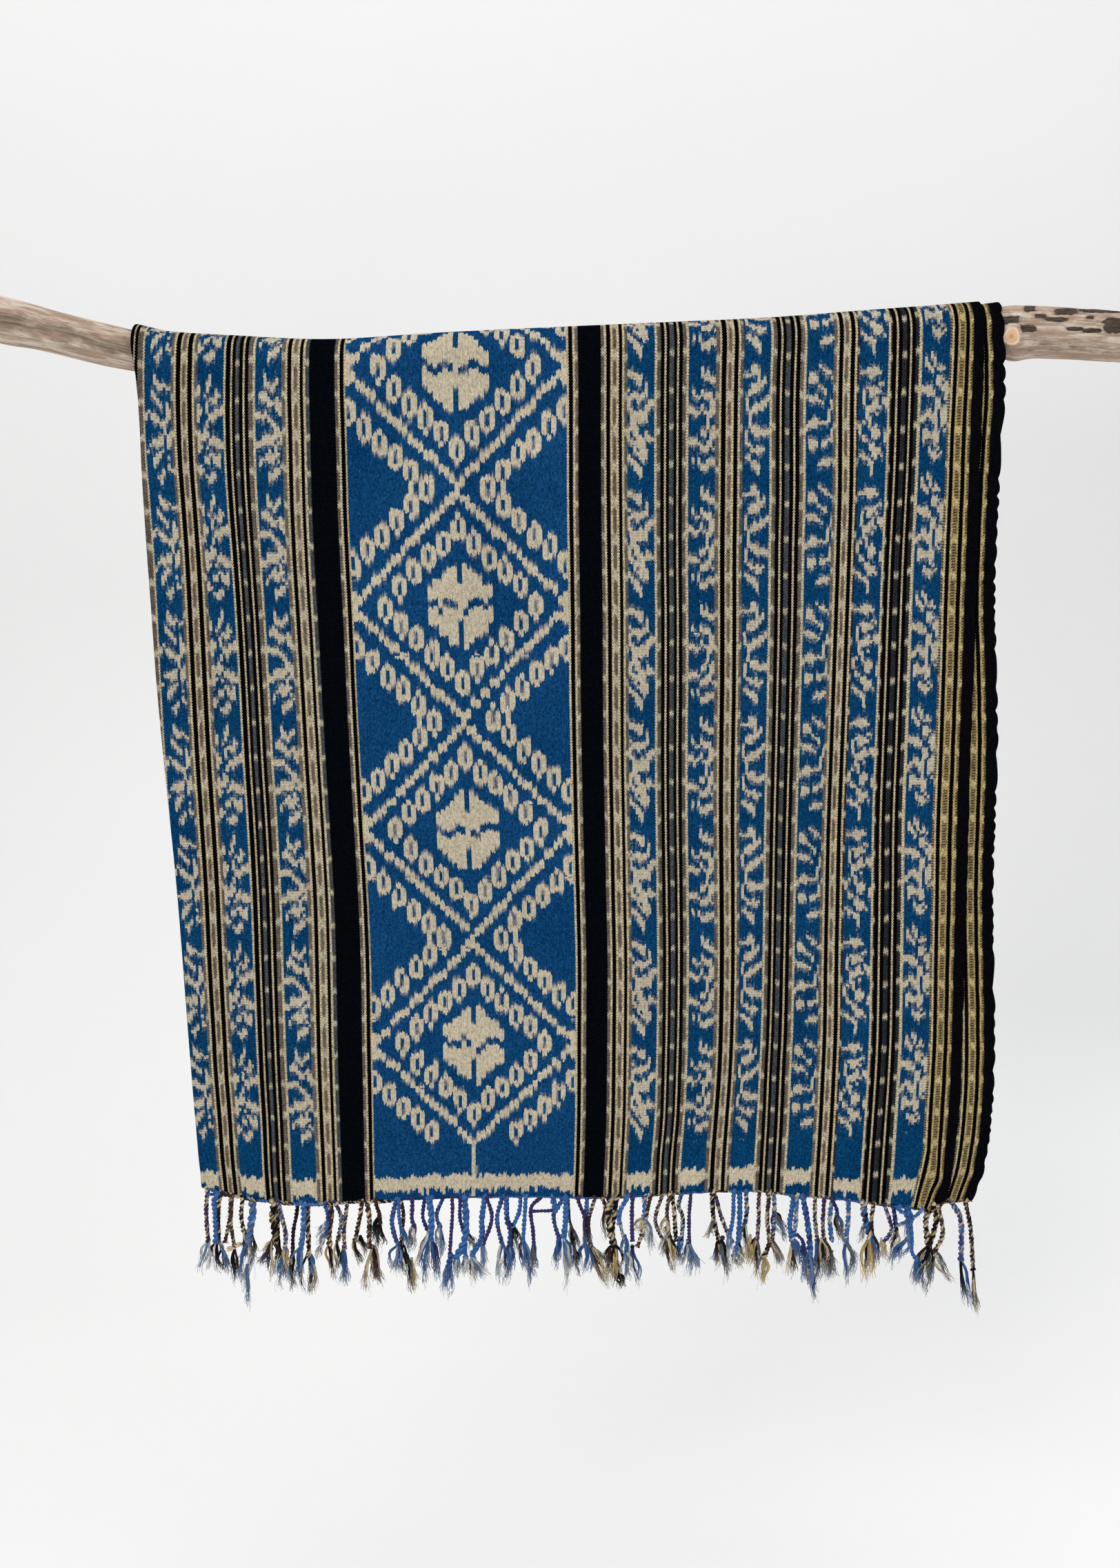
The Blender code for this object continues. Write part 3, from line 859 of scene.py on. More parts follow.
def cloth_point(part, share, x, out):
    y0, z0, radius, hem = support(x)
    if part == "over":
        turn = share * math.pi
        return (
            x, y0 - (radius + out) * math.cos(turn), z0 + (radius + out) * math.sin(turn)
        )
    if part == "front":
        z = hem + (z0 - hem) * share
        depth = folds(FRONT_FOLDS, x, z0 - z, z0 - hem)
        return x, y0 - radius - out + depth, z
    z = z0 + (HEM_BACK - z0) * share
    depth = folds(BACK_FOLDS, x, z0 - z, z0 - HEM_BACK)
    return x, y0 + radius + out + depth, z


def make_cloth(material):
    rows = [("front", n / FRONT_ROWS) for n in range(FRONT_ROWS)]
    # the last rows before the hem come closer together
    rows = [(p, s if n > 8 else (n / 9) ** 1.5 * 9 / FRONT_ROWS) for n, (p, s) in enumerate(rows)]
    rows += [("over", n / OVER_ROWS) for n in range(OVER_ROWS + 1)]
    rows += [("back", (n + 1) / BACK_ROWS) for n in range(BACK_ROWS)]
    half = LAYER_STEP / 2
    grid, across, length, ends = [], [], [], []
    for part, share in rows:
        z_guess = cloth_point(part, share, 0.44, 0.0)[2]
        upper, under, turn_x, at_fold, yarns = lines_at(part, z_guess, share)
        knots_c = [at_fold + 1.57, *YARNS_AT, 595.25]
        knots_x = [turn_x, *yarns, upper]
        drop = share if part == "back" else 0.0
        sway = 0.0008 * math.sin(drop * 12.0) + 0.0005 * math.sin(drop * 27.0)
        line = []
        for c in UPPER:
            x = float(np.interp(c, knots_c, knots_x))
            edge = smooth((c - 586.0) / 9.0)
            x += edge * 0.0007 * (scallop(z_guess + 0.011, 1.0) - 0.6)
            x += sway * math.sin(c * 0.013 + 0.8) * smooth((595.0 - c) / 30.0)
            line.append((x, half, c))
        # round the lengthwise fold
        first = line[-1]
        for n in range(FOLD_TURN + 1):
            angle = math.pi / 2 + math.pi * n / FOLD_TURN
            line.append(
                (
                    turn_x + half * math.cos(angle),
                    half * math.sin(angle),
                    at_fold + 1.57 * (1 - 2 * n / FOLD_TURN),
                )
            )
        start = at_fold - 1.57
        for c in UNDER:
            went = start + c
            x = turn_x + went * (under - turn_x) / (start + SELVEDGE)
            edge = smooth((c - 583.0) / 12.0)
            x += edge * 0.0021 * (scallop(z_guess, 0.0) - 0.55)
            line.append((x, -half, -c))
        points, cs, ls, es = [], [], [], []
        for x, out, c in line:
            # the selvedges are a little thicker and wave in depth too
            near = smooth((abs(c) - 570.0) / 25.0)
            wave = near * 0.0006 * math.sin(z_guess * 190.0 + (2.0 if c < 0 else 0.0))
            px, py, pz = cloth_point(part, share, x, out)
            y0, z0, radius, hem = support(x)
            lift = 0.0005 * noise.noise((x * 22.0, pz * 9.0, 0.3 if c > 0 else 4.0))
            lift += 0.00022 * noise.noise((x * 75.0, pz * 42.0, 1.3 if c > 0 else 6.0))
            if part == "front":
                # gentle slack across the hanging part, and none at the branch
                lift *= smooth((z0 - pz) / 0.06)
                py += lift + wave
                # small creases where it leaves the branch
                if pz > -0.13:
                    fade = smooth((pz + 0.13) / 0.10)
                    for where, wide, deep in CREASES:
                        off = (x - where - 0.05 * (pz + 0.04)) / wide
                        py += deep * fade * math.exp(-off * off)
                ragged = 0.0006 * noise.noise((x * 160.0, 3.1 if c > 0 else 8.0, 0.0))
                pz += ragged * (1 - share) ** 12
                length_here, end = -pz, pz - hem
                # the upper layer's free corner curls in
                if c > CORNER[0][0]:
                    start_up, go_in, go_down = (
                        float(np.interp(c, [r[0] for r in CORNER], [r[k] for r in CORNER]))
                        for k in (1, 2, 3)
                    )
                    high = (pz - hem) * 1000.0
                    s = min(1.0, max(0.0, (start_up - high) / start_up))
                    px -= go_in / 1000.0 * s**1.1
                    pz -= go_down / 1000.0 * smooth((12.0 - high) / 12.0)
                    py -= 0.0016 * s * s * smooth((c - 572.0) / 14.0)
            elif part == "over":
                length_here = -z0 - radius * share * math.pi
                end = 1.0
            else:
                py += lift + wave
                length_here = -z0 - radius * math.pi - (z0 - pz)
                end = pz - HEM_BACK
                pz += 0.0006 * noise.noise((x * 150.0, 5.1, 2.0)) * share**12
            points.append((px, py, pz))
            cs.append(c / 1000.0)
            ls.append(length_here)
            es.append(end)
        grid.append(points)
        across.append(cs)
        length.append(ls)
        ends.append(es)

    for part, row in (("front", 0), ("back", -1)):
        for layer in (1, -1):
            edge = sorted(
                p for p, c in zip(grid[row], across[row]) if (c > 0) == (layer > 0)
            )
            HEMS[part, layer] = tuple(np.array(edge).T)
    P = np.array(grid)
    A, L, E = np.array(across), np.array(length), np.array(ends)
    du = np.gradient(P, axis=1)
    dv = np.gradient(P, axis=0)
    normal = np.cross(du, dv)
    normal /= np.linalg.norm(normal, axis=2, keepdims=True) + 1e-12
    if normal[20, 5, 1] > 0:
        normal = -normal  # outwards on the upper layer's face
    R, C = A.shape
    t = CLOTH_THICK / 2
    faces, points, a, l, e = [], [], [], [], []

    def sheet_of(offset):
        base = len(points)
        points.extend((P + normal * offset).reshape(-1, 3).tolist())
        a.extend(A.ravel()); l.extend(L.ravel()); e.extend(E.ravel())
        return base

    face_up, face_down = sheet_of(t), sheet_of(-t)
    idx = np.arange(R * C).reshape(R, C)
    q = np.stack([idx[:-1, :-1], idx[1:, :-1], idx[1:, 1:], idx[:-1, 1:]], -1).reshape(-1, 4)
    probe = P[1, 0] - P[0, 0], P[0, 1] - P[0, 0]
    if np.dot(np.cross(probe[0], probe[1]), normal[0, 0]) < 0:
        q = q[:, ::-1]
    faces.extend(q.tolist())
    faces.extend((q[:, ::-1] + face_down).tolist())
    # a rounded rim all the way round
    ring = (
        [(0, j) for j in range(C)] + [(i, C - 1) for i in range(1, R)]
        + [(R - 1, j) for j in range(C - 2, -1, -1)] + [(i, 0) for i in range(R - 2, 0, -1)]
    )
    centre_i = {0: 1, R - 1: R - 2}
    centre_j = {0: 1, C - 1: C - 2}
    rim = []
    for i, j in ring:
        away = P[i, j] - P[centre_i.get(i, i), centre_j.get(j, j)]
        away = away / (np.linalg.norm(away) + 1e-12)
        rim.append(len(points))
        points.append((P[i, j] + away * 0.00045).tolist())
        a.append(A[i, j]); l.append(L[i, j]); e.append(E[i, j])
    n = len(ring)
    for k in range(n):
        m = (k + 1) % n
        i0, i1 = ring[k][0] * C + ring[k][1], ring[m][0] * C + ring[m][1]
        top = [i0, i1, rim[m], rim[k]]
        low = [face_down + i1, face_down + i0, rim[k], rim[m]]
        faces.append(top)
        faces.append(low)
    return add_object(
        "cloth_sheet", points, faces, material,
        (("across", "FLOAT", a), ("along", "FLOAT", l), ("ends", "FLOAT", e)),
    )


# =============================================================== the branch
def make_driftwood():
    g = Graph("driftwood_finish")
    run = g.attribute("run") * 1000.0      # mm along
    side_y = g.attribute("side_y") * 17.0  # mm across the bar, so that nothing has a seam
    side_z = g.attribute("side_z") * 17.0
    bark = g.attribute("bark")
    shade = g.attribute("shade")
    ring = g.attribute("ring") * 1000.0
    cut = g.attribute("cut")

    def clouds(long, round_it, seed, detail, rough=0.5):
        place = g.vector(run / long + seed, side_y / round_it, side_z / round_it)
        return g.noise(place, 1.0, detail, rough)

    grain = clouds(22.0, 1.9, 3.0, 3.0, 0.6)
    fine = clouds(5.0, 0.9, 17.0, 3.0, 0.65)
    wisps = clouds(30.0, 4.2, 41.0, 4.0, 0.62)
    cloud = clouds(15.0, 7.5, 8.0, 4.0, 0.6)
    blush = clouds(26.0, 8.0, 71.0, 2.0)
    crack = (clouds(34.0, 2.2, 57.0, 1.0) - 0.5).abs()
    wood = g.mix(wisps.step(0.40, 0.62), srgb(160, 138, 120), srgb(206, 190, 174))
    wood = g.mix(blush.step(0.50, 0.66) * 0.42, wood, srgb(182, 144, 124))
    amount = (shade + (cloud - 0.5) * 2.1 + (wisps - 0.5) * 0.9).step(0.30, 0.95)
    wood = g.mix(amount * 0.86, wood, g.mix(grain.step(0.38, 0.62), srgb(94, 82, 70),
                                            srgb(134, 115, 99)))
    wood = g.scale(wood, (grain - 0.5) * 0.34 + (fine - 0.5) * 0.55 + 1.0)
    wood = g.mix((0.010 - crack).step(0.0, 0.010) * 0.40, wood, srgb(64, 50, 42))
    rag = clouds(4.2, 2.1, 20.0, 3.0, 0.6)
    patch = (bark + (rag - 0.5) * 0.9).step(0.02, 0.10)
    bark_color = g.mix(fine.step(0.40, 0.66), srgb(58, 50, 45), srgb(88, 77, 68))
    brown = (bark + 0.42 + (rag - 0.5) * 1.6).step(0.0, 0.30)
    wood = g.mix(brown * 0.42, wood, srgb(142, 112, 96))
    wood = g.mix(patch, wood, bark_color)
    rings = ((ring + (cloud - 0.5) * 3.0) * 2.6).sin() * 0.5 + 0.5
    sawn = g.mix(rings * 0.30 + fine * 0.55, srgb(206, 160, 124), srgb(230, 195, 164))
    sawn = g.mix((ring - 3.7).step(0.0, 1.2) * 0.75, sawn, srgb(240, 219, 194))
    sawn = g.mix((1.9 - ring).step(0.0, 1.6) * 0.60, sawn, srgb(158, 100, 70))
    sawn = g.mix((ring - 7.5).step(0.0, 8.0) * 0.5, sawn, srgb(164, 138, 114))
    color = g.mix(cut, wood, sawn)
    height = grain * 0.8 + fine * 0.45 - (0.012 - crack).step(0.0, 0.012) * 0.6
    height = height + patch * 0.8 + rag * 0.25
    g.bump(height, 0.55, 0.0008)
    rough = grain * 0.14 + 0.78
    return g.finish(color, rough, specular=0.10)


STUB_X, STUB_ANGLE = 0.7487, -0.28   # the sawn stump of a twig, and its turn from front
# Where scraps of dark bark still cling to the bare right-hand part, as they show in
# the frame: across from, to, down from, to.  The back has the same ones, shifted.
BARK_SCRAPS = (
    (1484, 1502, 443, 453), (1528, 1565, 447, 457), (1560, 1640, 448, 454),
    (1499, 1518, 455, 462), (1514, 1551, 460, 467), (1454, 1478, 458, 471),
    (1475, 1503, 471, 482), (1546, 1572, 474, 480), (1570, 1599, 476, 483),
    (1574, 1587, 458, 463), (1598, 1640, 460, 484), (1654, 1690, 458, 467),
    (1664, 1716, 486, 496),
)


def bark_at(point, y0):
    """How far inside a scrap of bark this point of the branch is, 1 at its middle."""
    x, y, z = point
    if x < 0.725:
        return -1.0
    u, v = shown((x, y, z)) if y < y0 else shown((x + 0.013, 2 * y0 - y, z))
    best = -1.0
    for u0, u1, v0, v1 in BARK_SCRAPS:
        across = (u - (u0 + u1) / 2) / ((u1 - u0) / 2)
        down = (v - (v0 + v1) / 2) / ((v1 - v0) / 2)
        best = max(best, 1.0 - (across**4 + down**4) ** 0.25)
    return best


def make_branch(material):
    sides = 128
    xs = np.concatenate([
        np.linspace(0.0, 0.150, 91), np.linspace(0.154, 0.730, 145),
        np.linspace(0.731, 0.868, 160),
    ])
    points, faces = [], []
    run, turn, bark, ring, cut, shade = [], [], [], [], [], []

    def put(p, r, a, b, k, c):
        points.append(p); run.append(r); turn.append(a); bark.append(b)
        ring.append(k); cut.append(c)
        # darker colour on the branch: a band along the middle of the left part, a thin
        # line near its top edge, and the lower half of the right part
        low = math.atan2(math.sin(a), math.cos(a))
        if r < 0.4:
            rim = 0.55 * math.exp(-(((low - 1.20) / 0.13) ** 2))
            shade.append(0.92 * math.exp(-(((low - 0.02) / 0.55) ** 2)) + rim)
        else:
            shade.append(0.56 * math.exp(-(((low + 0.60) / 0.50) ** 2)))
        return len(points) - 1

    rows = []
    for x in xs:
        y0, z0, radius = branch_at(x)
        hidden = smooth((x - 0.138) / 0.02) * (1 - smooth((x - 0.742) / 0.012))
        swell = math.exp(-(((x - 0.757) / 0.009) ** 2))
        row = []
        for k in range(sides):
            angle = 2 * math.pi * k / sides
            cy, cz = -math.cos(angle), math.sin(angle)
            p = (x * 9.0, cy * 1.2, cz * 1.2)
            lumps = noise.fractal(p, 0.9, 2.0, 3) * 0.0009
            grooves = noise.fractal((x * 14.0, cy * 5.5, cz * 5.5), 0.8, 2.1, 4) * 0.00045
            r = radius - 0.0004 + (lumps + grooves) * (1 - 0.75 * hidden)
            r += 0.0028 * swell * max(0.0, math.cos(angle + 1.4)) ** 2
            flake = bark_at((x, y0 + cy * r, z0 + cz * r), y0)
            r += 0.0005 * smooth(flake / 0.5) * (1 - hidden)
            fade = min(1.0, min(x, 0.868 - x) / 0.004)
            r = radius - 0.0006 + (r - radius + 0.0006) * fade
            # the twig's stump stands out of the side, with a collar round it
            da = math.atan2(math.sin(angle - STUB_ANGLE), math.cos(angle - STUB_ANGLE))
            away = math.hypot(x - STUB_X, da * radius)
            round_it = math.atan2(da * radius, x - STUB_X)
            away *= 1 + 0.07 * math.sin(3 * round_it + 0.6) + 0.04 * math.sin(5 * round_it)
            r += 0.0020 * smooth((0.0102 - away) / 0.0045)
            on_cut = smooth((0.0058 - away) / 0.0007)
            r -= 0.0005 * on_cut
            row.append(
                put(
                    (x, y0 + cy * r, z0 + cz * r), x, angle,
                    flake if away > 0.008 else -1.0,
                    away if away < 0.02 else 0.02, on_cut,
                )
            )
        rows.append(row)
    for a, b in zip(rows, rows[1:]):
        for k in range(sides):
            m = (k + 1) % sides
            faces.append((a[k], b[k], b[m], a[m]))
    # sawn ends: rings of the flat face, in to its middle
    for row, x, flip in ((rows[0], 0.0, False), (rows[-1], 0.868, True)):
        y0, z0, radius = branch_at(x)
        outer = [
            put(points[v], x, turn[v], -1.0, radius, 1.0) for v in row
        ]
        last = outer
        for share in (0.93, 0.7, 0.45, 0.2):
            now = []
            for v in outer:
                q = points[v]
                now.append(
                    put(
                        (x, y0 + (q[1] - y0) * share, z0 + (q[2] - z0) * share),
                        x, turn[v], -1.0, radius * share, 1.0,
                    )
                )
            for k in range(sides):
                m = (k + 1) % sides
                f = (last[k], last[m], now[m], now[k])
                faces.append(f if not flip else f[::-1])
            last = now
        hub = put((x, y0, z0), x, 0.0, -1.0, 0.0, 1.0)
        for k in range(sides):
            m = (k + 1) % sides
            f = (last[k], last[m], hub)
            faces.append(f if not flip else f[::-1])
    return add_object(
        "driftwood_branch", points, faces, material,
        (("run", "FLOAT", run), ("side_y", "FLOAT", -np.cos(turn)),
         ("side_z", "FLOAT", np.sin(turn)), ("bark", "FLOAT", bark),
         ("ring", "FLOAT", ring), ("cut", "FLOAT", cut), ("shade", "FLOAT", shade)),
    )


# =============================================================== yarn
TONES = {
    "B": srgb(58, 102, 160),     # indigo
    "N": srgb(47, 54, 106),      # dark indigo
    "P": srgb(60, 52, 98),      # indigo over brown, violet in the shade
    "L": srgb(108, 136, 174),   # washed-out indigo
    "W": srgb(202, 203, 198),   # bleached ends
    "K": srgb(20, 17, 19),      # black
    "R": srgb(62, 42, 42),      # dark brown
    "C": srgb(206, 188, 154),   # undyed
    "G": srgb(196, 168, 112),   # undyed, yellower
    "S": srgb(106, 104, 104),   # grey
}


class Tangle:
    """Collects many thin tubes in one mesh."""

    def __init__(self):
        self.points, self.faces, self.tones, self.lay = [], [], [], []

    def tube(self, path, radii, tones, sides=6, lay=0.0):
        """A tube along a path.  tones: one colour, or one for each point, or for each
        point one all the way round it."""
        path = np.asarray(path, float)
        n = len(path)
        tangent = np.gradient(path, axis=0)
        tangent /= np.linalg.norm(tangent, axis=1, keepdims=True) + 1e-12
        up = np.array((0.0, -1.0, 0.0))
        if abs(tangent[0] @ up) > 0.9:
            up = np.array((1.0, 0.0, 0.0))
        u = np.cross(tangent[0], up)
        u /= np.linalg.norm(u)
        base = len(self.points)
        walked = 0.0
        for i in range(n):
            u = u - tangent[i] * (u @ tangent[i])
            u /= np.linalg.norm(u) + 1e-12
            w = np.cross(tangent[i], u)
            r = radii[i] if hasattr(radii, "__len__") else radii
            tone = tones[i] if isinstance(tones, list) else tones
            round_it = tone if isinstance(tone, list) else [tone] * sides
            if i:
                walked += float(np.linalg.norm(path[i] - path[i - 1]))
            for k in range(sides):
                a = 2 * math.pi * k / sides
                p = path[i] + (u * math.cos(a) + w * math.sin(a)) * r
                self.points.append(p.tolist())
                self.tones.append((*round_it[k], 1.0))
                # a slanting coordinate, for the twist in the yarn's own relief
                self.lay.append(walked * 1000.0 + lay * a)
        for i in range(n - 1):
            for k in range(sides):
                m = (k + 1) % sides
                a, b = base + i * sides, base + (i + 1) * sides
                self.faces.append((a + k, b + k, b + m, a + m))
        self.faces.append(tuple(base + k for k in range(sides)))
        end = base + (n - 1) * sides
        self.faces.append(tuple(end + k for k in reversed(range(sides))))

    def object(self, name, material):
        return add_object(
            name, self.points, self.faces, material,
            (("tone", "FLOAT_COLOR", self.tones), ("lay", "FLOAT", self.lay)),
        )


def make_yarn(name, depth):
    g = Graph(name)
    tone = g.attribute("tone", "Color")
    lay = g.attribute("lay")
    place = g.node("ShaderNodeTexCoord").outputs["Object"]
    near = g.noise(Value(g, place), 1100.0, 2.0)
    far = g.noise(Value(g, place), 260.0, 2.0)
    strand = (lay * 6.5).sin() * 0.5 + 0.5
    color = g.mix((near - 0.48).step(0.0, 0.3) * 0.34, tone, g.scale(tone, 1.7))
    color = g.mix((0.5 - far).step(0.0, 0.25) * 0.36, color, g.scale(tone, 0.6))
    color = g.mix(strand * 0.16, color, g.scale(tone, 0.65))
    g.bump(strand * 0.6 + near * 0.6, 0.6, depth)
    return g.finish(color, 0.95, specular=0.04, sheen=0.05, sheen_rough=0.5)


def wander(points, seed, size, steps):
    """A smooth path through a few points, with a little random sway."""
    pts = [Vector(p) for p in points]
    if len(pts) == 2:
        pts = [pts[0], pts[0].lerp(pts[1], 0.5), pts[1]]
    out = []
    spans = len(pts) - 1
    for n in range(steps + 1):
        s = n / steps * spans
        i = min(spans - 1, int(s))
        t = s - i
        p0 = pts[max(0, i - 1)]
        p1, p2 = pts[i], pts[i + 1]
        p3 = pts[min(spans, i + 2)]
        q = 0.5 * (
            (2 * p1) + (p2 - p0) * t + (2 * p0 - 5 * p1 + 4 * p2 - p3) * t * t
            + (3 * p1 - p0 - 3 * p2 + p3) * t**3
        )
        share = n / steps
        bend = math.sin(share * math.pi) ** 0.5 if 0 < share < 1 else 0.0
        q = q + Vector(
            (
                noise.noise((seed * 3.7, share * 3.1, 0.0)),
                0.7 * noise.noise((seed * 5.1, share * 3.1, 9.0)),
                0.0,
            )
        ) * size * bend
        out.append(q)
    return out


def twist(tangle, path, width, yarns, rng, flare=0.0, swell=0.0, fine=7):
    """A two-ply cord along a path.  width in mm; each strand is spun of several
    yarns, so that its colour is flecked.  It opens a little where it leaves the
    hem, and swells at its lower end where it is tied off."""
    pts = np.array([tuple(p) for p in path])
    seg = np.linalg.norm(np.diff(pts, axis=0), axis=1)
    dist = np.concatenate([[0], np.cumsum(seg)])
    total = dist[-1]
    w_m = width / 1000.0 * 1.34
    lay = w_m * 1.72 * rng.uniform(0.9, 1.12)
    count = max(6, int(total / (lay / fine)) + 1)
    s = np.linspace(0, total, count)
    centre = np.stack([np.interp(s, dist, pts[:, k]) for k in range(3)], 1)
    tangent = np.gradient(centre, axis=0)
    tangent /= np.linalg.norm(tangent, axis=1, keepdims=True) + 1e-12
    u = np.cross(tangent, np.array((0.0, -1.0, 0.02)))
    u /= np.linalg.norm(u, axis=1, keepdims=True) + 1e-12
    w = np.cross(tangent, u)
    open_up = 1 + flare * np.clip(1 - s / 0.004, 0, 1)
    open_up = open_up + swell * np.clip(1 - (total - s) / 0.003, 0, 1)
    size = w_m * open_up * (1 + 0.07 * np.sin(s * 420.0 + rng.uniform(0, 6.28)))
    start = rng.uniform(0, 6.28)
    sides = 5
    pale = sum(y in "CGWL" for y in yarns)
    dark = len(yarns) - pale
    chance = [
        (0.23 / pale if y in "CGWL" else 0.77 / dark) if pale and dark else 1.0
        for y in yarns
    ]
    for k in range(2):
        phase = start + math.pi * k + s / lay * 2 * math.pi
        phase += 0.4 * np.sin(s * 140.0 + start)
        turn = u * np.cos(phase)[:, None] + w * np.sin(phase)[:, None]
        # short flecks of its yarns show up in turn all over it
        tones, shown_now, left = [], [None] * sides, [0] * sides
        for i in range(count):
            row = []
            for side in range(sides):
                if left[side] <= 0:
                    shown_now[side] = rng.choices(yarns, chance)[0]
                    left[side] = rng.choice((1, 2, 2, 3))
                left[side] -= 1
                row.append(
                    tuple(np.array(TONES[shown_now[side]]) * (0.72 + 0.5 * rng.random()))
                )
            tones.append(row)
        tangle.tube(centre + turn * (size * 0.240)[:, None], size * 0.270, tones,
                    sides=sides, lay=0.35)


def wrap(tangle, at, down, yarns, size, rng):
    """A small overhand knot: a loop and a half of yarn wrapped tight."""
    down = Vector(down).normalized()
    side = down.cross(Vector((0, -1, 0.1))).normalized()
    face = down.cross(side)
    path, tones = [], []
    for n in range(22):
        s = n / 21
        a = s * 1.7 * 2 * math.pi
        wide = size * (0.62 + 0.38 * math.sin(s * math.pi))
        path.append(
            tuple(
                Vector(at) + side * math.cos(a) * wide * 0.86
                + face * math.sin(a) * wide * 0.86 + down * ((s - 0.5) * size * 1.5)
            )
        )
        tones.append(tuple(np.array(TONES[yarns[int(n / 6) % len(yarns)]]) * rng.uniform(0.8, 1.15)))
    tangle.tube(path, size * 0.42, tones, sides=6, lay=0.35)


def tassel(tangle, at, tip, spread, yarns, rng, strands=11):
    """The frayed end of a cord: wavy locks of loose yarn that part from the cord's end,
    each a soft core with strands round it that come loose and pale towards the tip.
    spread in mm."""
    at, tip = Vector(at), Vector(tip)
    axis = tip - at
    long = axis.length
    axis.normalize()
    side = axis.cross(Vector((0, -1, 0.05))).normalized()
    face = axis.cross(side)
    half = spread / 2000.0 * 1.75
    locks = 3 if spread < 3.4 else 4 if spread < 6.0 else 5
    order = list(yarns)
    rng.shuffle(order)
    white = np.array(TONES["W"])
    start = rng.uniform(0, 1)
    for n in range(locks):
        across = (2 * (n + 0.5) / locks - 1) * 0.8 + rng.uniform(-0.25, 0.25)
        deep = rng.uniform(-0.5, 0.5)
        reach = long * (1.0 if n == locks // 2 else rng.uniform(0.62, 1.0))
        own = order[n % len(order)] if rng.random() < 0.8 else rng.choice(yarns)
        swing = rng.uniform(0.35, 1.05) / 1000.0
        turns, phase = rng.uniform(4.0, 8.5), rng.uniform(0, 6.28)
        bow = rng.uniform(-0.5, 0.5)
        steps = 9

        def spine(s, loose=0.0):
            out = smooth(s / 0.45)
            x = half * (across * out + bow * math.sin(s * math.pi)) + swing * math.sin(
                s * turns + phase
            ) * smooth(s / 0.3)
            y = half * deep * out + swing * 0.6 * math.cos(s * turns + phase)
            return at + axis * (reach * s) + side * x + face * y

        thick = (0.00060 + 0.00009 * spread / locks * 2.0) * rng.uniform(0.8, 1.2)
        if own in "BL" or spread > 5:
            thick *= 1.1
        tone = np.array(TONES[own])
        pale = 0.34 if own in "BLNP" else 0.22 if own in "KRS" else 0.1

        def tone_at(s, own_tone, paler):
            share = paler * smooth((s - 0.55) / 0.45)
            return tuple(own_tone * (1 - share) + white * share)

        path, radii, tones = [], [], []
        for k in range(steps):
            s = k / (steps - 1)
            path.append(tuple(spine(s * 0.86)))
            radii.append(thick * (0.9 + 0.5 * math.sin(min(1.0, s * 1.3) * math.pi)) * (
                1.0 - 0.86 * smooth((s - 0.50) / 0.50)))
            # painted shade: each lock's core is darker than its own yarn, as shade among the strands
            # round it
            tones.append(tone_at(s, tone * rng.uniform(0.5, 0.8), pale * 0.5))
        tangle.tube(path, radii, tones, sides=5)
        for _ in range(strands):
            a, r = rng.uniform(0, 2 * math.pi), 0.75 + 0.6 * rng.random()
            wisp = rng.random() < 0.25
            far = rng.uniform(0.8, 1.06) * (1.1 if wisp else 1.0)
            wave = rng.uniform(0.20, 0.75) / 1000.0
            twirl, began = rng.uniform(5.0, 13.0), rng.uniform(0, 6.28)
            away = rng.uniform(0.3, 1.7) * (1.7 if wisp else 1.0)
            other = own if rng.random() < 0.76 else rng.choice(yarns)
            strand = np.array(TONES[other]) * rng.uniform(0.6, 1.35)
            path, radii, tones = [], [], []
            for k in range(steps):
                s = k / (steps - 1) * far
                grow = thick * r * (0.8 + away * smooth((s - 0.35) / 0.65))
                q = spine(s) + side * (math.cos(a + s * 1.6) * grow) + face * (
                    math.sin(a + s * 1.6) * grow * 0.8
                )
                q += side * (wave * math.sin(s * twirl + began) * s * 2.0)
                q += face * (wave * math.cos(s * twirl + began) * s)
                path.append(tuple(q))
                tones.append(tone_at(s, strand, pale + (0.2 if wisp else 0.0)))
                radii.append((0.00020 if wisp else 0.00034) * (1 - 0.45 * k / (steps - 1)))
            tangle.tube(path, radii, tones, sides=3)


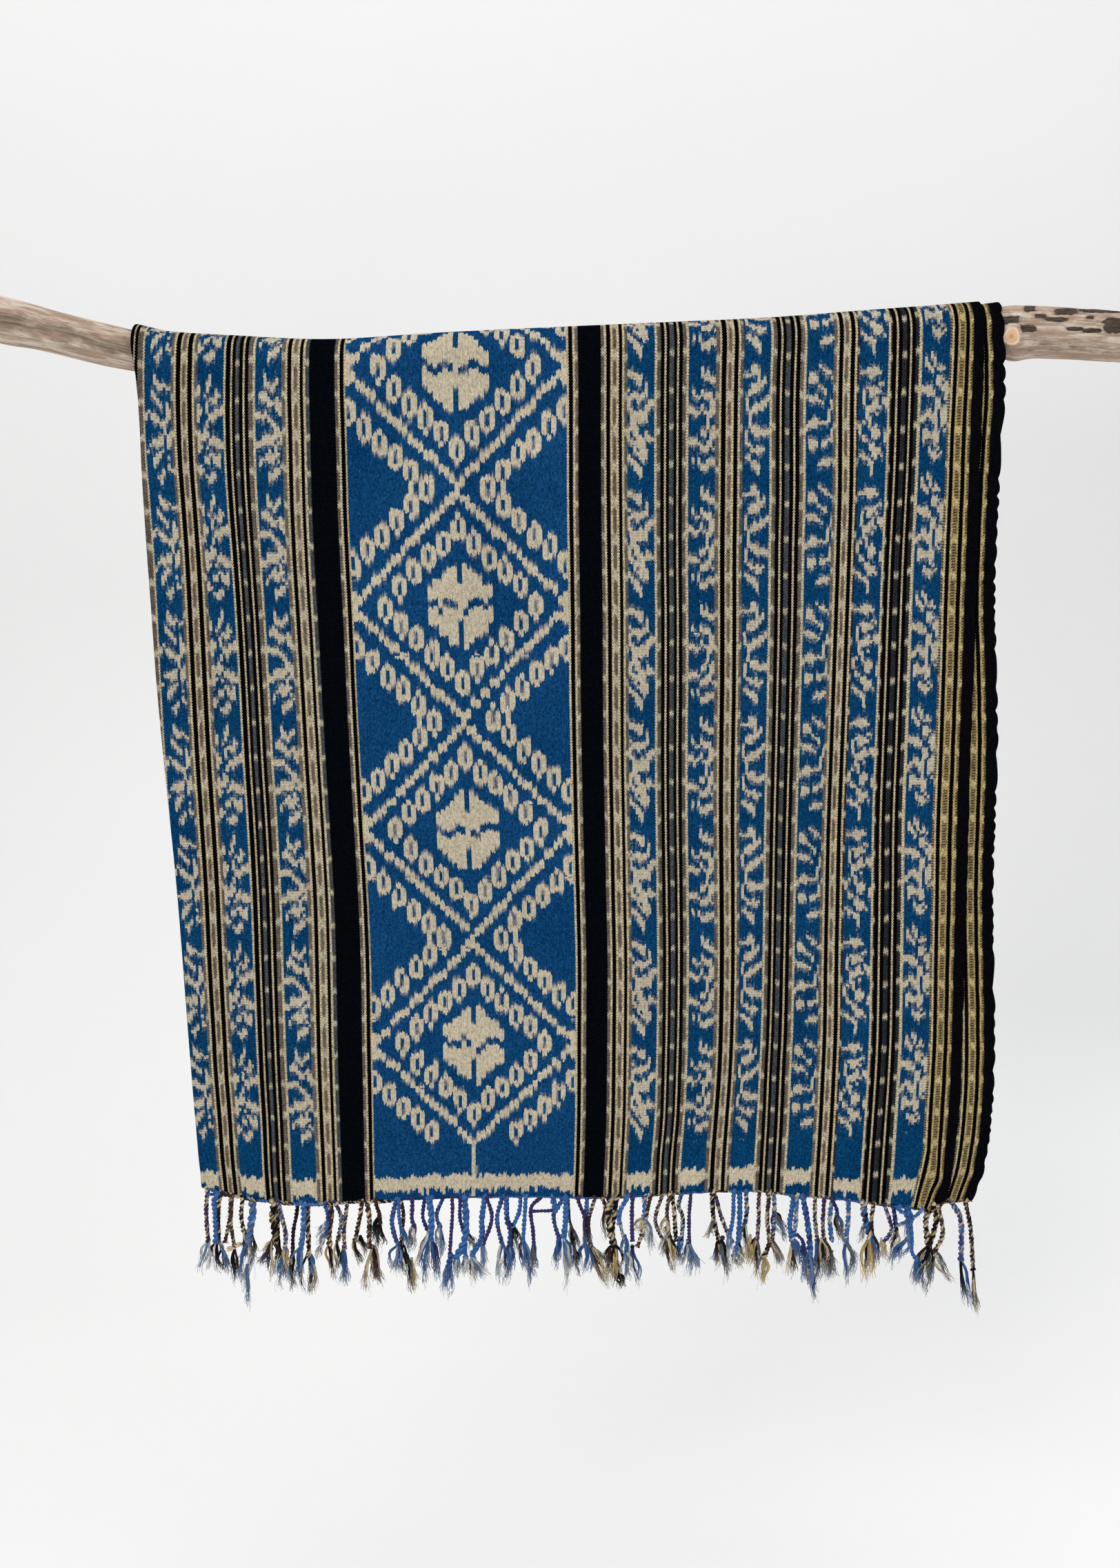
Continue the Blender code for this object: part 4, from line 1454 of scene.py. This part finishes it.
# The front fringe as it hangs, cord by cord: two to four places down the cord, in the
# frame of the view, its thickness in mm, and the yarns it is spun of.
CORDS = (
    ((296, 1728), (299, 1765), (302, 1800), 2.9, "PRC"),
    ((311, 1740), (312, 1770), (313, 1802), 3.6, "B"),
    ((318, 1740), (317, 1770), (317, 1802), 2.8, "RKC"),
    ((330, 1738), (333, 1765), (328, 1790), (326, 1802), 2.6, "RC"),
    ((334, 1738), (334, 1768), (337, 1790), (340, 1808), 2.6, "RC"),
    ((349, 1803), (340, 1808), (330, 1812), 3.0, "C"),
    ((350, 1748), (350, 1768), (354, 1788), 2.8, "RCK"),
    ((363, 1742), (366, 1760), (362, 1785), (360, 1800), 5.0, "BLS"),
    ((396, 1742), (395, 1765), (398, 1785), (399, 1800), 4.6, "KCG"),
    ((402, 1750), (402, 1775), (402, 1798), 3.0, "KC"),
    ((404, 1748), (409, 1765), (414, 1790), (413, 1812), 3.0, "RCBP"),
    ((431, 1748), (429, 1765), (425, 1790), (424, 1822), 2.6, "RK"),
    ((440, 1748), (440, 1770), (438, 1795), (436, 1815), 3.8, "BL"),
    ((447, 1748), (446, 1770), (447, 1800), (448, 1822), 3.2, "KCR"),
    ((472, 1742), (474, 1760), (475, 1775), (473, 1790), 2.6, "NB"),
    ((479, 1742), (480, 1765), (477, 1785), (478, 1806), 3.6, "CGR"),
    ((487, 1742), (492, 1756), (495, 1770), (490, 1800), 2.8, "NBRC"),
    ((503, 1742), (500, 1765), (499, 1790), (500, 1812), 2.7, "RCP"),
    ((524, 1742), (522, 1765), (517, 1790), (514, 1802), 3.0, "RCK"),
    ((533, 1748), (536, 1770), (535, 1795), (536, 1810), 3.4, "CGR"),
    ((545, 1742), (549, 1758), (551, 1775), 2.8, "RK"),
    ((573, 1738), (568, 1770), (573, 1795), (580, 1810), 3.2, "BP"),
    ((577, 1740), (578, 1760), (580, 1775), 2.4, "B"),
    ((580, 1738), (585, 1760), (583, 1785), (582, 1805), 2.8, "RKC"),
    ((597, 1738), (597, 1765), (601, 1780), 2.8, "P"),
    ((614, 1740), (613, 1765), (620, 1785), 2.5, "N"),
    ((622, 1738), (625, 1765), (624, 1800), 4.4, "B"),
    ((641, 1738), (633, 1762), (638, 1780), 2.7, "NB"),
    ((655, 1738), (655, 1770), (652, 1820), 2.5, "P"),
    ((654, 1818), (652, 1830), (650, 1840), 4.0, "BN"),
    ((667, 1745), (667, 1768), (672, 1785), 2.5, "N"),
    ((672, 1738), (676, 1765), (673, 1800), (660, 1825), 4.6, "B"),
    ((673, 1798), (674, 1812), (675, 1825), 3.4, "B"),
    ((702, 1738), (698, 1768), (698, 1795), (684, 1820), 3.8, "B"),
    ((706, 1742), (713, 1768), (700, 1805), 2.7, "P"),
    ((727, 1738), (721, 1768), (728, 1804), 2.9, "BP"),
    ((734, 1740), (735, 1768), (740, 1785), (739, 1808), 3.6, "NB"),
    ((754, 1738), (752, 1760), (743, 1780), 2.8, "B"),
    ((762, 1738), (760, 1768), (758, 1800), 2.8, "B"),
    ((783, 1732), (770, 1752), (773, 1785), (774, 1806), 2.7, "P"),
    ((771, 1757), (790, 1756), (806, 1755), 2.2, "NP"),
    ((802, 1735), (804, 1748), (806, 1757), 4.0, "B"),
    ((803, 1756), (804, 1775), (811, 1797), 2.8, "BP"),
    ((815, 1738), (812, 1745), (808, 1752), 3.0, "B"),
    ((820, 1735), (820, 1765), (817, 1795), 3.8, "B"),
    ((824, 1745), (826, 1770), (832, 1790), (833, 1815), 2.0, "KS"),
    ((838, 1735), (844, 1755), (848, 1765), 2.6, "RP"),
    ((851, 1732), (850, 1760), (848, 1808), 3.0, "B"),
    ((862, 1732), (856, 1758), (852, 1785), (857, 1808), 2.7, "KRCP"),
    ((873, 1735), (876, 1744), (878, 1753), 2.6, "RC"),
    ((884, 1735), (882, 1760), (886, 1790), (890, 1808), 4.6, "KC"),
    ((893, 1735), (890, 1760), (886, 1785), (891, 1806), 4.4, "KKC"),
    ((908, 1738), (899, 1755), (898, 1775), 3.2, "BL"),
    ((899, 1773), (903, 1790), (908, 1805), 2.4, "BC"),
    ((917, 1732), (916, 1765), (917, 1800), 2.8, "P"),
    ((934, 1732), (935, 1755), (933, 1768), 3.4, "BC"),
    ((942, 1732), (937, 1765), (932, 1785), (924, 1808), 2.7, "RC"),
    ((960, 1732), (950, 1768), (958, 1792), (964, 1802), 2.6, "RPC"),
    ((970, 1735), (967, 1760), (971, 1795), 2.7, "RC"),
    ((975, 1735), (978, 1765), (980, 1800), 2.9, "KC"),
    ((987, 1735), (984, 1750), (990, 1768), (987, 1808), 2.9, "BKC"),
    ((1002, 1732), (999, 1765), (999, 1803), 2.5, "P"),
    ((1033, 1732), (1034, 1765), (1040, 1790), (1044, 1803), 3.2, "KC"),
    ((1037, 1735), (1044, 1760), (1054, 1785), (1062, 1802), 2.8, "RCP"),
    ((1065, 1732), (1063, 1760), (1057, 1795), 2.8, "B"),
    ((1072, 1732), (1072, 1765), (1070, 1800), (1064, 1822), 3.6, "B"),
    ((1083, 1732), (1083, 1755), (1080, 1775), 3.0, "BKC"),
    ((1103, 1732), (1100, 1765), (1098, 1798), 2.8, "PRC"),
    ((1115, 1738), (1112, 1770), (1116, 1798), 3.0, "RC"),
    ((1122, 1738), (1123, 1765), (1119, 1798), 3.0, "RCB"),
    ((1118, 1798), (1113, 1810), (1108, 1822), 3.4, "CRK"),
    ((1150, 1738), (1145, 1775), (1149, 1800), 3.4, "B"),
    ((1157, 1738), (1154, 1770), (1149, 1800), 3.2, "BC"),
    ((1155, 1790), (1163, 1798), (1165, 1806), 2.4, "N"),
    ((1166, 1738), (1170, 1770), (1174, 1800), (1175, 1835), 4.0, "BN"),
    ((1184, 1738), (1181, 1768), (1185, 1800), 2.8, "RPC"),
    ((1196, 1738), (1193, 1770), (1195, 1800), 2.8, "RPC"),
    ((1208, 1738), (1203, 1768), (1206, 1800), 3.2, "BC"),
    ((1209, 1740), (1212, 1752), (1214, 1766), 2.6, "NK"),
    ((1231, 1738), (1230, 1768), (1226, 1800), 3.2, "BC"),
    ((1252, 1738), (1254, 1765), (1262, 1795), 4.4, "KCB"),
    ((1267, 1738), (1264, 1765), (1264, 1790), 2.8, "KRC"),
    ((1283, 1740), (1290, 1768), (1293, 1785), (1280, 1802), 2.8, "PCN"),
    ((1296, 1740), (1297, 1765), (1300, 1790), 3.0, "NKB"),
    ((1302, 1742), (1308, 1758), (1318, 1760), 3.0, "B"),
    ((1316, 1742), (1316, 1765), (1320, 1785), (1316, 1800), 4.0, "B"),
    ((1335, 1750), (1322, 1768), (1300, 1778), 2.6, "BC"),
    ((1322, 1790), (1322, 1815), (1330, 1828), 2.8, "B"),
    ((1344, 1752), (1342, 1775), (1345, 1805), 3.6, "KC"),
    ((1354, 1752), (1358, 1768), (1352, 1790), (1346, 1812), 3.6, "KCG"),
    ((1361, 1750), (1366, 1775), (1366, 1795), (1352, 1820), 3.0, "RC"),
    ((1384, 1738), (1392, 1765), (1394, 1800), (1393, 1828), 3.6, "PBC"),
    ((1403, 1742), (1406, 1775), (1409, 1810), (1411, 1842), 2.9, "RCK"),
)
# The frayed ends: where each starts, where its tip is, how wide it gets in mm, and
# its yarns.
TASSELS = (
    (302, 1805, 292, 1845, 5.0, "LWS"), (316, 1806, 318, 1842, 6.0, "LWKC"),
    (322, 1815, 330, 1848, 4.0, "KNL"), (340, 1815, 342, 1858, 2.6, "SKR"),
    (360, 1800, 352, 1862, 9.0, "BBLW"), (358, 1840, 357, 1896, 3.0, "LWS"),
    (366, 1795, 370, 1822, 2.0, "KS"), (393, 1803, 372, 1832, 3.0, "RKC"),
    (392, 1815, 378, 1834, 2.4, "N"), (395, 1803, 396, 1855, 5.0, "KCR"),
    (404, 1798, 408, 1834, 3.0, "KCC"), (410, 1828, 407, 1868, 3.0, "BPL"),
    (414, 1814, 416, 1845, 4.0, "CG"), (414, 1835, 426, 1868, 3.0, "BLW"),
    (434, 1815, 430, 1855, 6.0, "BBL"), (447, 1822, 450, 1878, 6.0, "KRCG"),
    (452, 1825, 455, 1852, 2.6, "B"), (470, 1777, 462, 1795, 3.0, "LW"),
    (473, 1790, 458, 1825, 2.8, "LWS"), (478, 1808, 486, 1852, 4.0, "CGRK"),
    (489, 1802, 490, 1842, 3.0, "KCR"), (498, 1813, 500, 1866, 5.0, "BBL"),
    (515, 1802, 526, 1832, 5.0, "KCGR"), (524, 1798, 530, 1815, 3.0, "K"),
    (540, 1812, 534, 1872, 5.0, "KRRC"), (541, 1815, 545, 1850, 3.0, "CG"),
    (545, 1813, 552, 1860, 4.0, "RRC"), (549, 1768, 544, 1800, 4.0, "K"),
    (551, 1776, 552, 1812, 4.0, "K"), (577, 1810, 572, 1845, 6.0, "BLW"),
    (583, 1806, 590, 1850, 4.5, "K"), (592, 1826, 598, 1872, 3.0, "KSC"),
    (598, 1830, 604, 1866, 2.0, "GC"), (600, 1780, 597, 1812, 4.0, "WSL"),
    (582, 1776, 594, 1815, 3.0, "B"), (623, 1800, 618, 1862, 7.0, "BBLW"),
    (626, 1801, 635, 1856, 3.5, "NNB"), (620, 1787, 604, 1835, 3.0, "WLS"),
    (638, 1780, 639, 1822, 5.0, "LSWB"), (650, 1838, 647, 1878, 5.0, "BPL"),
    (662, 1824, 663, 1852, 3.6, "WSL"), (674, 1825, 675, 1848, 3.0, "SWL"),
    (684, 1820, 692, 1862, 4.0, "WWS"), (686, 1824, 706, 1852, 3.0, "WWL"),
    (673, 1786, 690, 1812, 3.0, "SKW"), (700, 1806, 702, 1842, 3.0, "LWB"),
    (728, 1804, 728, 1860, 6.0, "WBNW"), (739, 1808, 740, 1848, 4.0, "BLW"),
    (744, 1780, 751, 1820, 4.0, "SWK"), (759, 1800, 766, 1866, 7.0, "BBNL"),
    (774, 1806, 776, 1850, 3.5, "SBB"), (811, 1797, 806, 1842, 4.5, "B"),
    (817, 1796, 832, 1842, 4.0, "BBL"), (818, 1798, 824, 1868, 4.0, "WLB"),
    (829, 1785, 836, 1818, 4.0, "SKBW"), (848, 1808, 845, 1845, 6.0, "NBB"),
    (857, 1808, 880, 1862, 3.5, "CGKR"), (858, 1808, 873, 1828, 3.0, "SCK"),
    (888, 1808, 878, 1835, 4.0, "RK"), (889, 1810, 884, 1856, 5.0, "CKGR"),
    (891, 1808, 890, 1862, 5.0, "KRKC"), (892, 1808, 902, 1855, 5.0, "KCS"),
    (895, 1850, 902, 1868, 3.0, "K"), (907, 1797, 910, 1828, 3.5, "B"),
    (909, 1822, 912, 1855, 4.0, "LBW"), (918, 1812, 926, 1862, 3.0, "NBL"),
    (932, 1768, 922, 1785, 3.0, "SC"), (935, 1770, 944, 1818, 3.2, "SLW"),
    (966, 1768, 962, 1795, 3.0, "CS"), (964, 1798, 958, 1822, 3.0, "WS"),
    (970, 1796, 980, 1842, 4.5, "CRKG"), (985, 1800, 984, 1830, 4.0, "B"),
    (997, 1804, 998, 1852, 6.0, "LWLB"), (1000, 1804, 1014, 1845, 5.0, "LBW"),
    (1034, 1768, 1026, 1795, 2.6, "CS"), (1042, 1800, 1038, 1836, 4.0, "CGKN"),
    (1046, 1800, 1056, 1855, 5.0, "KSRL"), (1058, 1796, 1056, 1830, 3.0, "LW"),
    (1066, 1815, 1070, 1838, 4.0, "CWR"), (1072, 1800, 1074, 1835, 3.6, "KSC"),
    (1080, 1776, 1080, 1812, 3.0, "SKW"), (1088, 1797, 1086, 1832, 4.0, "GC"),
    (1096, 1798, 1082, 1828, 4.0, "GCK"), (1098, 1798, 1098, 1848, 4.0, "RCSK"),
    (1124, 1762, 1140, 1800, 4.5, "SKBL"), (1108, 1822, 1102, 1864, 5.0, "CRCG"),
    (1119, 1798, 1134, 1835, 3.5, "CRS"), (1148, 1800, 1148, 1848, 5.0, "CRGK"),
    (1152, 1800, 1166, 1835, 4.0, "BBL"), (1174, 1818, 1172, 1864, 6.0, "LBSW"),
    (1185, 1800, 1188, 1864, 5.0, "CKSB"), (1196, 1800, 1210, 1850, 5.0, "RKRS"),
    (1192, 1801, 1200, 1845, 3.0, "CGC"), (1206, 1820, 1200, 1856, 4.0, "CLB"),
    (1214, 1765, 1226, 1805, 4.5, "SKLW"), (1226, 1800, 1230, 1862, 5.5, "LWSB"),
    (1228, 1802, 1243, 1832, 2.5, "LW"), (1252, 1780, 1246, 1802, 3.0, "WS"),
    (1263, 1795, 1258, 1856, 6.5, "CGKG"), (1262, 1796, 1272, 1820, 5.0, "B"),
    (1265, 1790, 1272, 1838, 4.0, "KSR"), (1279, 1802, 1284, 1828, 3.4, "CWG"),
    (1300, 1788, 1292, 1815, 4.0, "KCS"), (1315, 1798, 1290, 1838, 5.5, "BBBL"),
    (1346, 1810, 1330, 1866, 9.0, "CGKRW"), (1346, 1812, 1345, 1875, 4.0, "LBSK"),
    (1350, 1814, 1380, 1854, 4.5, "SKCW"), (1393, 1828, 1407, 1895, 3.0, "BBCK"),
    (1411, 1842, 1416, 1902, 2.0, "KRC"),
)
# The twined yarn along the front hem: up to which x, its thickness in mm, its yarns.
TWINE = (
    (0.166, 2.2, "BN"), (0.192, 3.0, "KCRC"), (0.207, 2.2, "BN"), (0.220, 2.9, "KRC"),
    (0.243, 2.6, "BBL"), (0.274, 2.2, "KC"), (0.296, 2.7, "KCK"), (0.302, 1.8, "BN"),
    (0.356, 1.4, "NKN"), (0.450, 1.5, "BNB"), (0.480, 1.6, "KCR"), (0.499, 1.6, "BN"),
    (0.521, 1.6, "KCR"), (0.541, 1.6, "BN"), (0.559, 1.6, "KCR"), (0.577, 1.6, "BN"),
    (0.601, 1.6, "KCR"), (0.621, 1.6, "BN"), (0.640, 1.7, "KCR"), (0.659, 1.7, "BN"),
    (0.682, 1.7, "KCR"), (0.700, 1.7, "BN"), (0.760, 1.9, "KRG"),
)
FRONT_Y = -0.0222


def make_front_fringe(cord_yarn, fray_yarn):
    cords, edge = Tangle(), Tangle()
    left_frays, middle_frays, right_frays = Tangle(), Tangle(), Tangle()
    rng = random.Random(27)
    hung = []   # places of the frame along the cords, with their depth
    for n, (*places, width, yarns) in enumerate(CORDS):
        u0, v0 = places[0]
        probe = seen(u0, v0, FRONT_Y)
        lean = (0.0012, -0.0010, 0.0002)[n % 3] + rng.uniform(-0.0003, 0.0003)
        if v0 < 1754:
            # which layer's hem it hangs from, and so how deep it hangs
            layer = -1 if probe.x > 0.726 or n % 2 else 1
            start = hem_point("front", layer, probe.x)
            way = [start + Vector((0, 0, 0.0012)), start + Vector((0, 0, -0.0026))]
            y = start.y
            first = seen(u0, v0, y)
            if first.z < start.z - 0.0045:
                way.append(first)
            flare = 0.6
        else:
            # it goes on from another cord's end
            y = nearest(hung, u0, v0)
            way, flare, lean = [seen(u0, v0, y)], 0.0, 0.0004
        for k, (u, v) in enumerate(places[1:]):
            way.append(seen(u, v, y + lean * (k + 1) / (len(places) - 1)))
        path = wander(way, n + 0.3, 0.0006, 24)
        twist(cords, path, width, yarns, rng, flare=flare, swell=0.25)
        hung += [(*shown(p), p.y) for p in path]
        # a few short hairs stand off the cord
        for _ in range(2):
            p = path[rng.randrange(5, 23)]
            q = p + Vector(
                (rng.uniform(-1, 1), rng.uniform(-0.6, 0.2), rng.uniform(-1, 0.4))
            ).normalized() * rng.uniform(0.0025, 0.0055)
            mid = p.lerp(q, 0.5) + Vector((0, 0, 0.0007))
            edge.tube([tuple(p), tuple(mid), tuple(q)], [0.00012, 0.00010, 0.00007],
                      TONES[yarns[0]], sides=3)
    tassels = list(TASSELS)
    starts = [t[:2] for t in TASSELS] + [c[0] for c in CORDS if c[0][1] > 1754]
    for n, (*places, width, yarns) in enumerate(CORDS):
        # every cord that ends freely frays there
        u, v = places[-1]
        if all(math.hypot(u - a, v - b) > 11 for a, b in starts):
            lean = (-5, 3, 7, -2)[n % 4]
            tassels.append((u, v, u + lean, v + 36 + 7 * (n % 3), 2.0 + width * 0.5, yarns))
    for u0, v0, u1, v1, spread, yarns in tassels:
        frays = left_frays if u0 < 640 else middle_frays if u0 < 1010 else right_frays
        y = nearest(hung, u0, v0) + rng.uniform(-0.0004, 0.0004)
        at = seen(u0, v0, y)
        tip = seen(u1, v1, y + rng.uniform(-0.0022, 0.0016))
        tassel(frays, at + (at - tip).normalized() * 0.0036, tip, spread, yarns, rng)
    for u, v, yarns in ((1048, 1795, "N"), (917, 1808, "K"), (806, 1756, "N")):
        at = seen(u, v, nearest(hung, u, v))
        wrap(cords, at, (0, 0, -1), yarns, 0.0015, rng)
    # the twined yarn that runs along each layer's hem, over the cords' roots
    pick = random.Random(5)
    for layer in (1, -1):
        x = 0.1520
        for until, width, yarns in TWINE:
            while x < min(until, 0.7265 if layer > 0 else 0.7450):
                stop = min(until, x + pick.uniform(0.010, 0.026))
                stop = min(stop, 0.7275 if layer > 0 else 0.7465)
                path = []
                for k in np.linspace(x - 0.0006, stop + 0.0006, max(4, int((stop - x) / 0.0018))):
                    p = hem_point("front", layer, float(k))
                    wob = noise.noise((k * 210.0, layer * 4.0, 0.0)) * 0.0006
                    path.append(p + Vector((0, -0.0003 * layer, wob - width * 0.0004)))
                twist(edge, path, width, yarns, pick, fine=6)
                x = stop
    return (
        cords.object("fringe_front_cords", cord_yarn),
        left_frays.object("fringe_front_tassels_left", fray_yarn),
        middle_frays.object("fringe_front_tassels_middle", fray_yarn),
        right_frays.object("fringe_front_tassels_right", fray_yarn),
        edge.object("fringe_front_twine", cord_yarn),
    )


def nearest(hung, u, v):
    """The depth of the cord that shows nearest this place of the frame."""
    return min(hung, key=lambda h: (h[0] - u) ** 2 + (h[1] - v) ** 2 * 0.5)[2]


def hem_yarns(x, pick):
    """The yarns of a cord that hangs here, by the stripes above it."""
    blue = ((0.151, 0.172), (0.183, 0.200), (0.221, 0.242), (0.288, 0.437),
            (0.480, 0.499), (0.521, 0.541), (0.559, 0.577), (0.601, 0.621),
            (0.640, 0.659), (0.682, 0.700))
    if any(a < x < b for a, b in blue):
        return pick.choice(("B", "BN", "NB", "BL", "P", "BP", "B"))
    return pick.choice(("KC", "RCK", "RC", "CGR", "KC", "PRC", "KRC"))


def make_back_fringe(cord_yarn):
    """The hidden fringe: the same cords, in pairs and threes, hanging freely."""
    both = Tangle()
    rng = random.Random(91)
    x = 0.1475
    n = 0
    while x < 0.7400:
        group = rng.choice((1, 2, 2, 3))
        meet = x + (group - 1) * 0.0035 + rng.uniform(-0.002, 0.002)
        long = rng.uniform(0.034, 0.042)
        for k in range(group):
            hx = x + k * 0.0068
            if hx > 0.7420:
                break
            layer = -1 if hx > 0.7255 or (n + k) % 2 else 1
            p = hem_point("back", layer, hx)
            at = Vector((meet * 0.55 + hx * 0.45 + rng.uniform(-0.001, 0.001),
                         p.y + rng.uniform(-0.0015, 0.0015),
                         p.z - long + rng.uniform(-0.003, 0.003)))
            bend = p.lerp(at, 0.5) + Vector((rng.uniform(-0.0022, 0.0022), 0, 0))
            path = wander([p + Vector((0, 0, 0.0012)), p + Vector((0, 0, -0.004)), bend, at],
                          n * 1.3 + k + 60.3, 0.0008, 22)
            yarns = hem_yarns(hx, rng)
            width = rng.choice((2.6, 2.7, 2.8, 3.0, 3.2, 3.6, 4.2))
            twist(both, path, width, yarns, rng, flare=0.6, swell=0.25, fine=5)
            down = Vector((rng.uniform(-0.3, 0.3), 0, -1)).normalized()
            ends = yarns + rng.choice(("W", "L", "C", "WL"))
            tassel(both, at, at + down * rng.uniform(0.018, 0.029),
                   rng.uniform(3.0, 5.6), ends, rng, strands=7)
        x += group * 0.0068 + rng.uniform(0.003, 0.009)
        n += group
    for layer in (1, -1):
        x = 0.1475
        end = 0.7255 if layer > 0 else 0.7425
        while x < end:
            stop = min(end, x + rng.uniform(0.010, 0.026))
            path = []
            for k in np.linspace(x - 0.0006, stop + 0.0006, max(4, int((stop - x) / 0.0022))):
                wob = noise.noise((k * 190.0, 7.0 + layer, 0.0)) * 0.0006
                path.append(hem_point("back", layer, float(k)) + Vector((0, 0, wob - 0.0007)))
            twist(both, path, 1.8, hem_yarns(x, rng), rng, fine=5)
            x = stop
    return both.object("fringe_back_yarn", cord_yarn)


# =============================================================== build
ikat = make_ikat()
cloth = make_cloth(ikat)
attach(cloth, root)
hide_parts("cloth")

branch = make_branch(make_driftwood())
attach(branch, root)
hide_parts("branch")

cord_yarn = make_yarn("cord_yarn", 0.00016)
fray_yarn = make_yarn("fray_yarn", 0.00006)
front_pieces = make_front_fringe(cord_yarn, fray_yarn)
back_fringe = make_back_fringe(cord_yarn)
for piece in front_pieces:
    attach(piece, root)
    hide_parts("fringe_front")
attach(back_fringe, root)
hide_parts("fringe_back")

# =============================================================== floor and light
def make_backdrop():
    g = Graph("pale_studio")
    place = Value(g, g.node("ShaderNodeTexCoord").outputs["Object"])
    x, _, z = g.split(place)
    high, low = z.step(-1.1, 0.2), (-0.85 - z).step(0.0, 0.18)
    # painted shade: the backdrop is darker higher up, so the wall is darker than the floor
    tone = g.noise(place, 3.0, 2.0) * 0.02 + 0.898 - high * 0.085
    # painted shadow: the cloth's soft shadow on the wall to its right
    shadow = x.step(0.45, 1.3) * (0.30 - z).step(0.0, 0.4) * (1.0 - low)
    # painted light and shade on the floor: darker to the left, lighter to the right
    slope = x * 0.068 - 0.012
    tone = tone - shadow * 0.068 + slope.min(0.0) * (1.0 - high) + slope.max(0.0) * low
    g.bump(g.noise(place, 160.0, 2.0), 0.05, 0.0004)
    return g.finish(g.vector(tone, tone * 0.997, tone * 0.988), 0.95, specular=0.1)


FLOOR_Z, WALL_Y, COVE = -1.05, 1.30, 0.80
profile = [(-3.2, FLOOR_Z)]
for n in range(25):
    a = math.pi / 2 * n / 24
    profile.append(
        (WALL_Y - COVE + COVE * math.sin(a), FLOOR_Z + COVE - COVE * math.cos(a))
    )
profile.append((WALL_Y, 2.6))
points, faces = [], []
for y, z in profile:
    points += [(-3.6, y, z), (4.4, y, z)]
for n in range(len(profile) - 1):
    a = 2 * n
    faces.append((a, a + 1, a + 3, a + 2))
floor = add_object("studio_floor", points, faces, make_backdrop())


def area_light(name, place, target, size, power, color):
    data = bpy.data.lights.new(name, "AREA")
    data.shape = "RECTANGLE"
    data.size, data.size_y = size
    data.energy = power
    data.color = color
    obj = bpy.data.objects.new(name, data)
    obj.location = place
    obj.rotation_euler = (Vector(target) - Vector(place)).to_track_quat("-Z", "Y").to_euler()
    scene.collection.objects.link(obj)


area_light("key", (-1.3, -2.3, 1.5), (0.4, 0.0, -0.3), (2.2, 2.2), 52.0, (1.0, 0.985, 0.965))
area_light("fill", (2.5, -2.2, 0.4), (0.4, 0.0, -0.3), (2.4, 2.4), 21.8, (0.97, 0.985, 1.0))
area_light("top", (0.4, 0.1, 2.3), (0.4, 0.45, -0.8), (2.8, 1.8), 30.0, (1.0, 1.0, 1.0))

world = bpy.data.worlds.new("studio")
world.use_nodes = True
world.node_tree.nodes["Background"].inputs["Color"].default_value = (0.95, 0.97, 1.0, 1.0)
world.node_tree.nodes["Background"].inputs["Strength"].default_value = 0.46
scene.world = world
scene.view_settings.view_transform = "Standard"
scene.view_settings.look = "None"
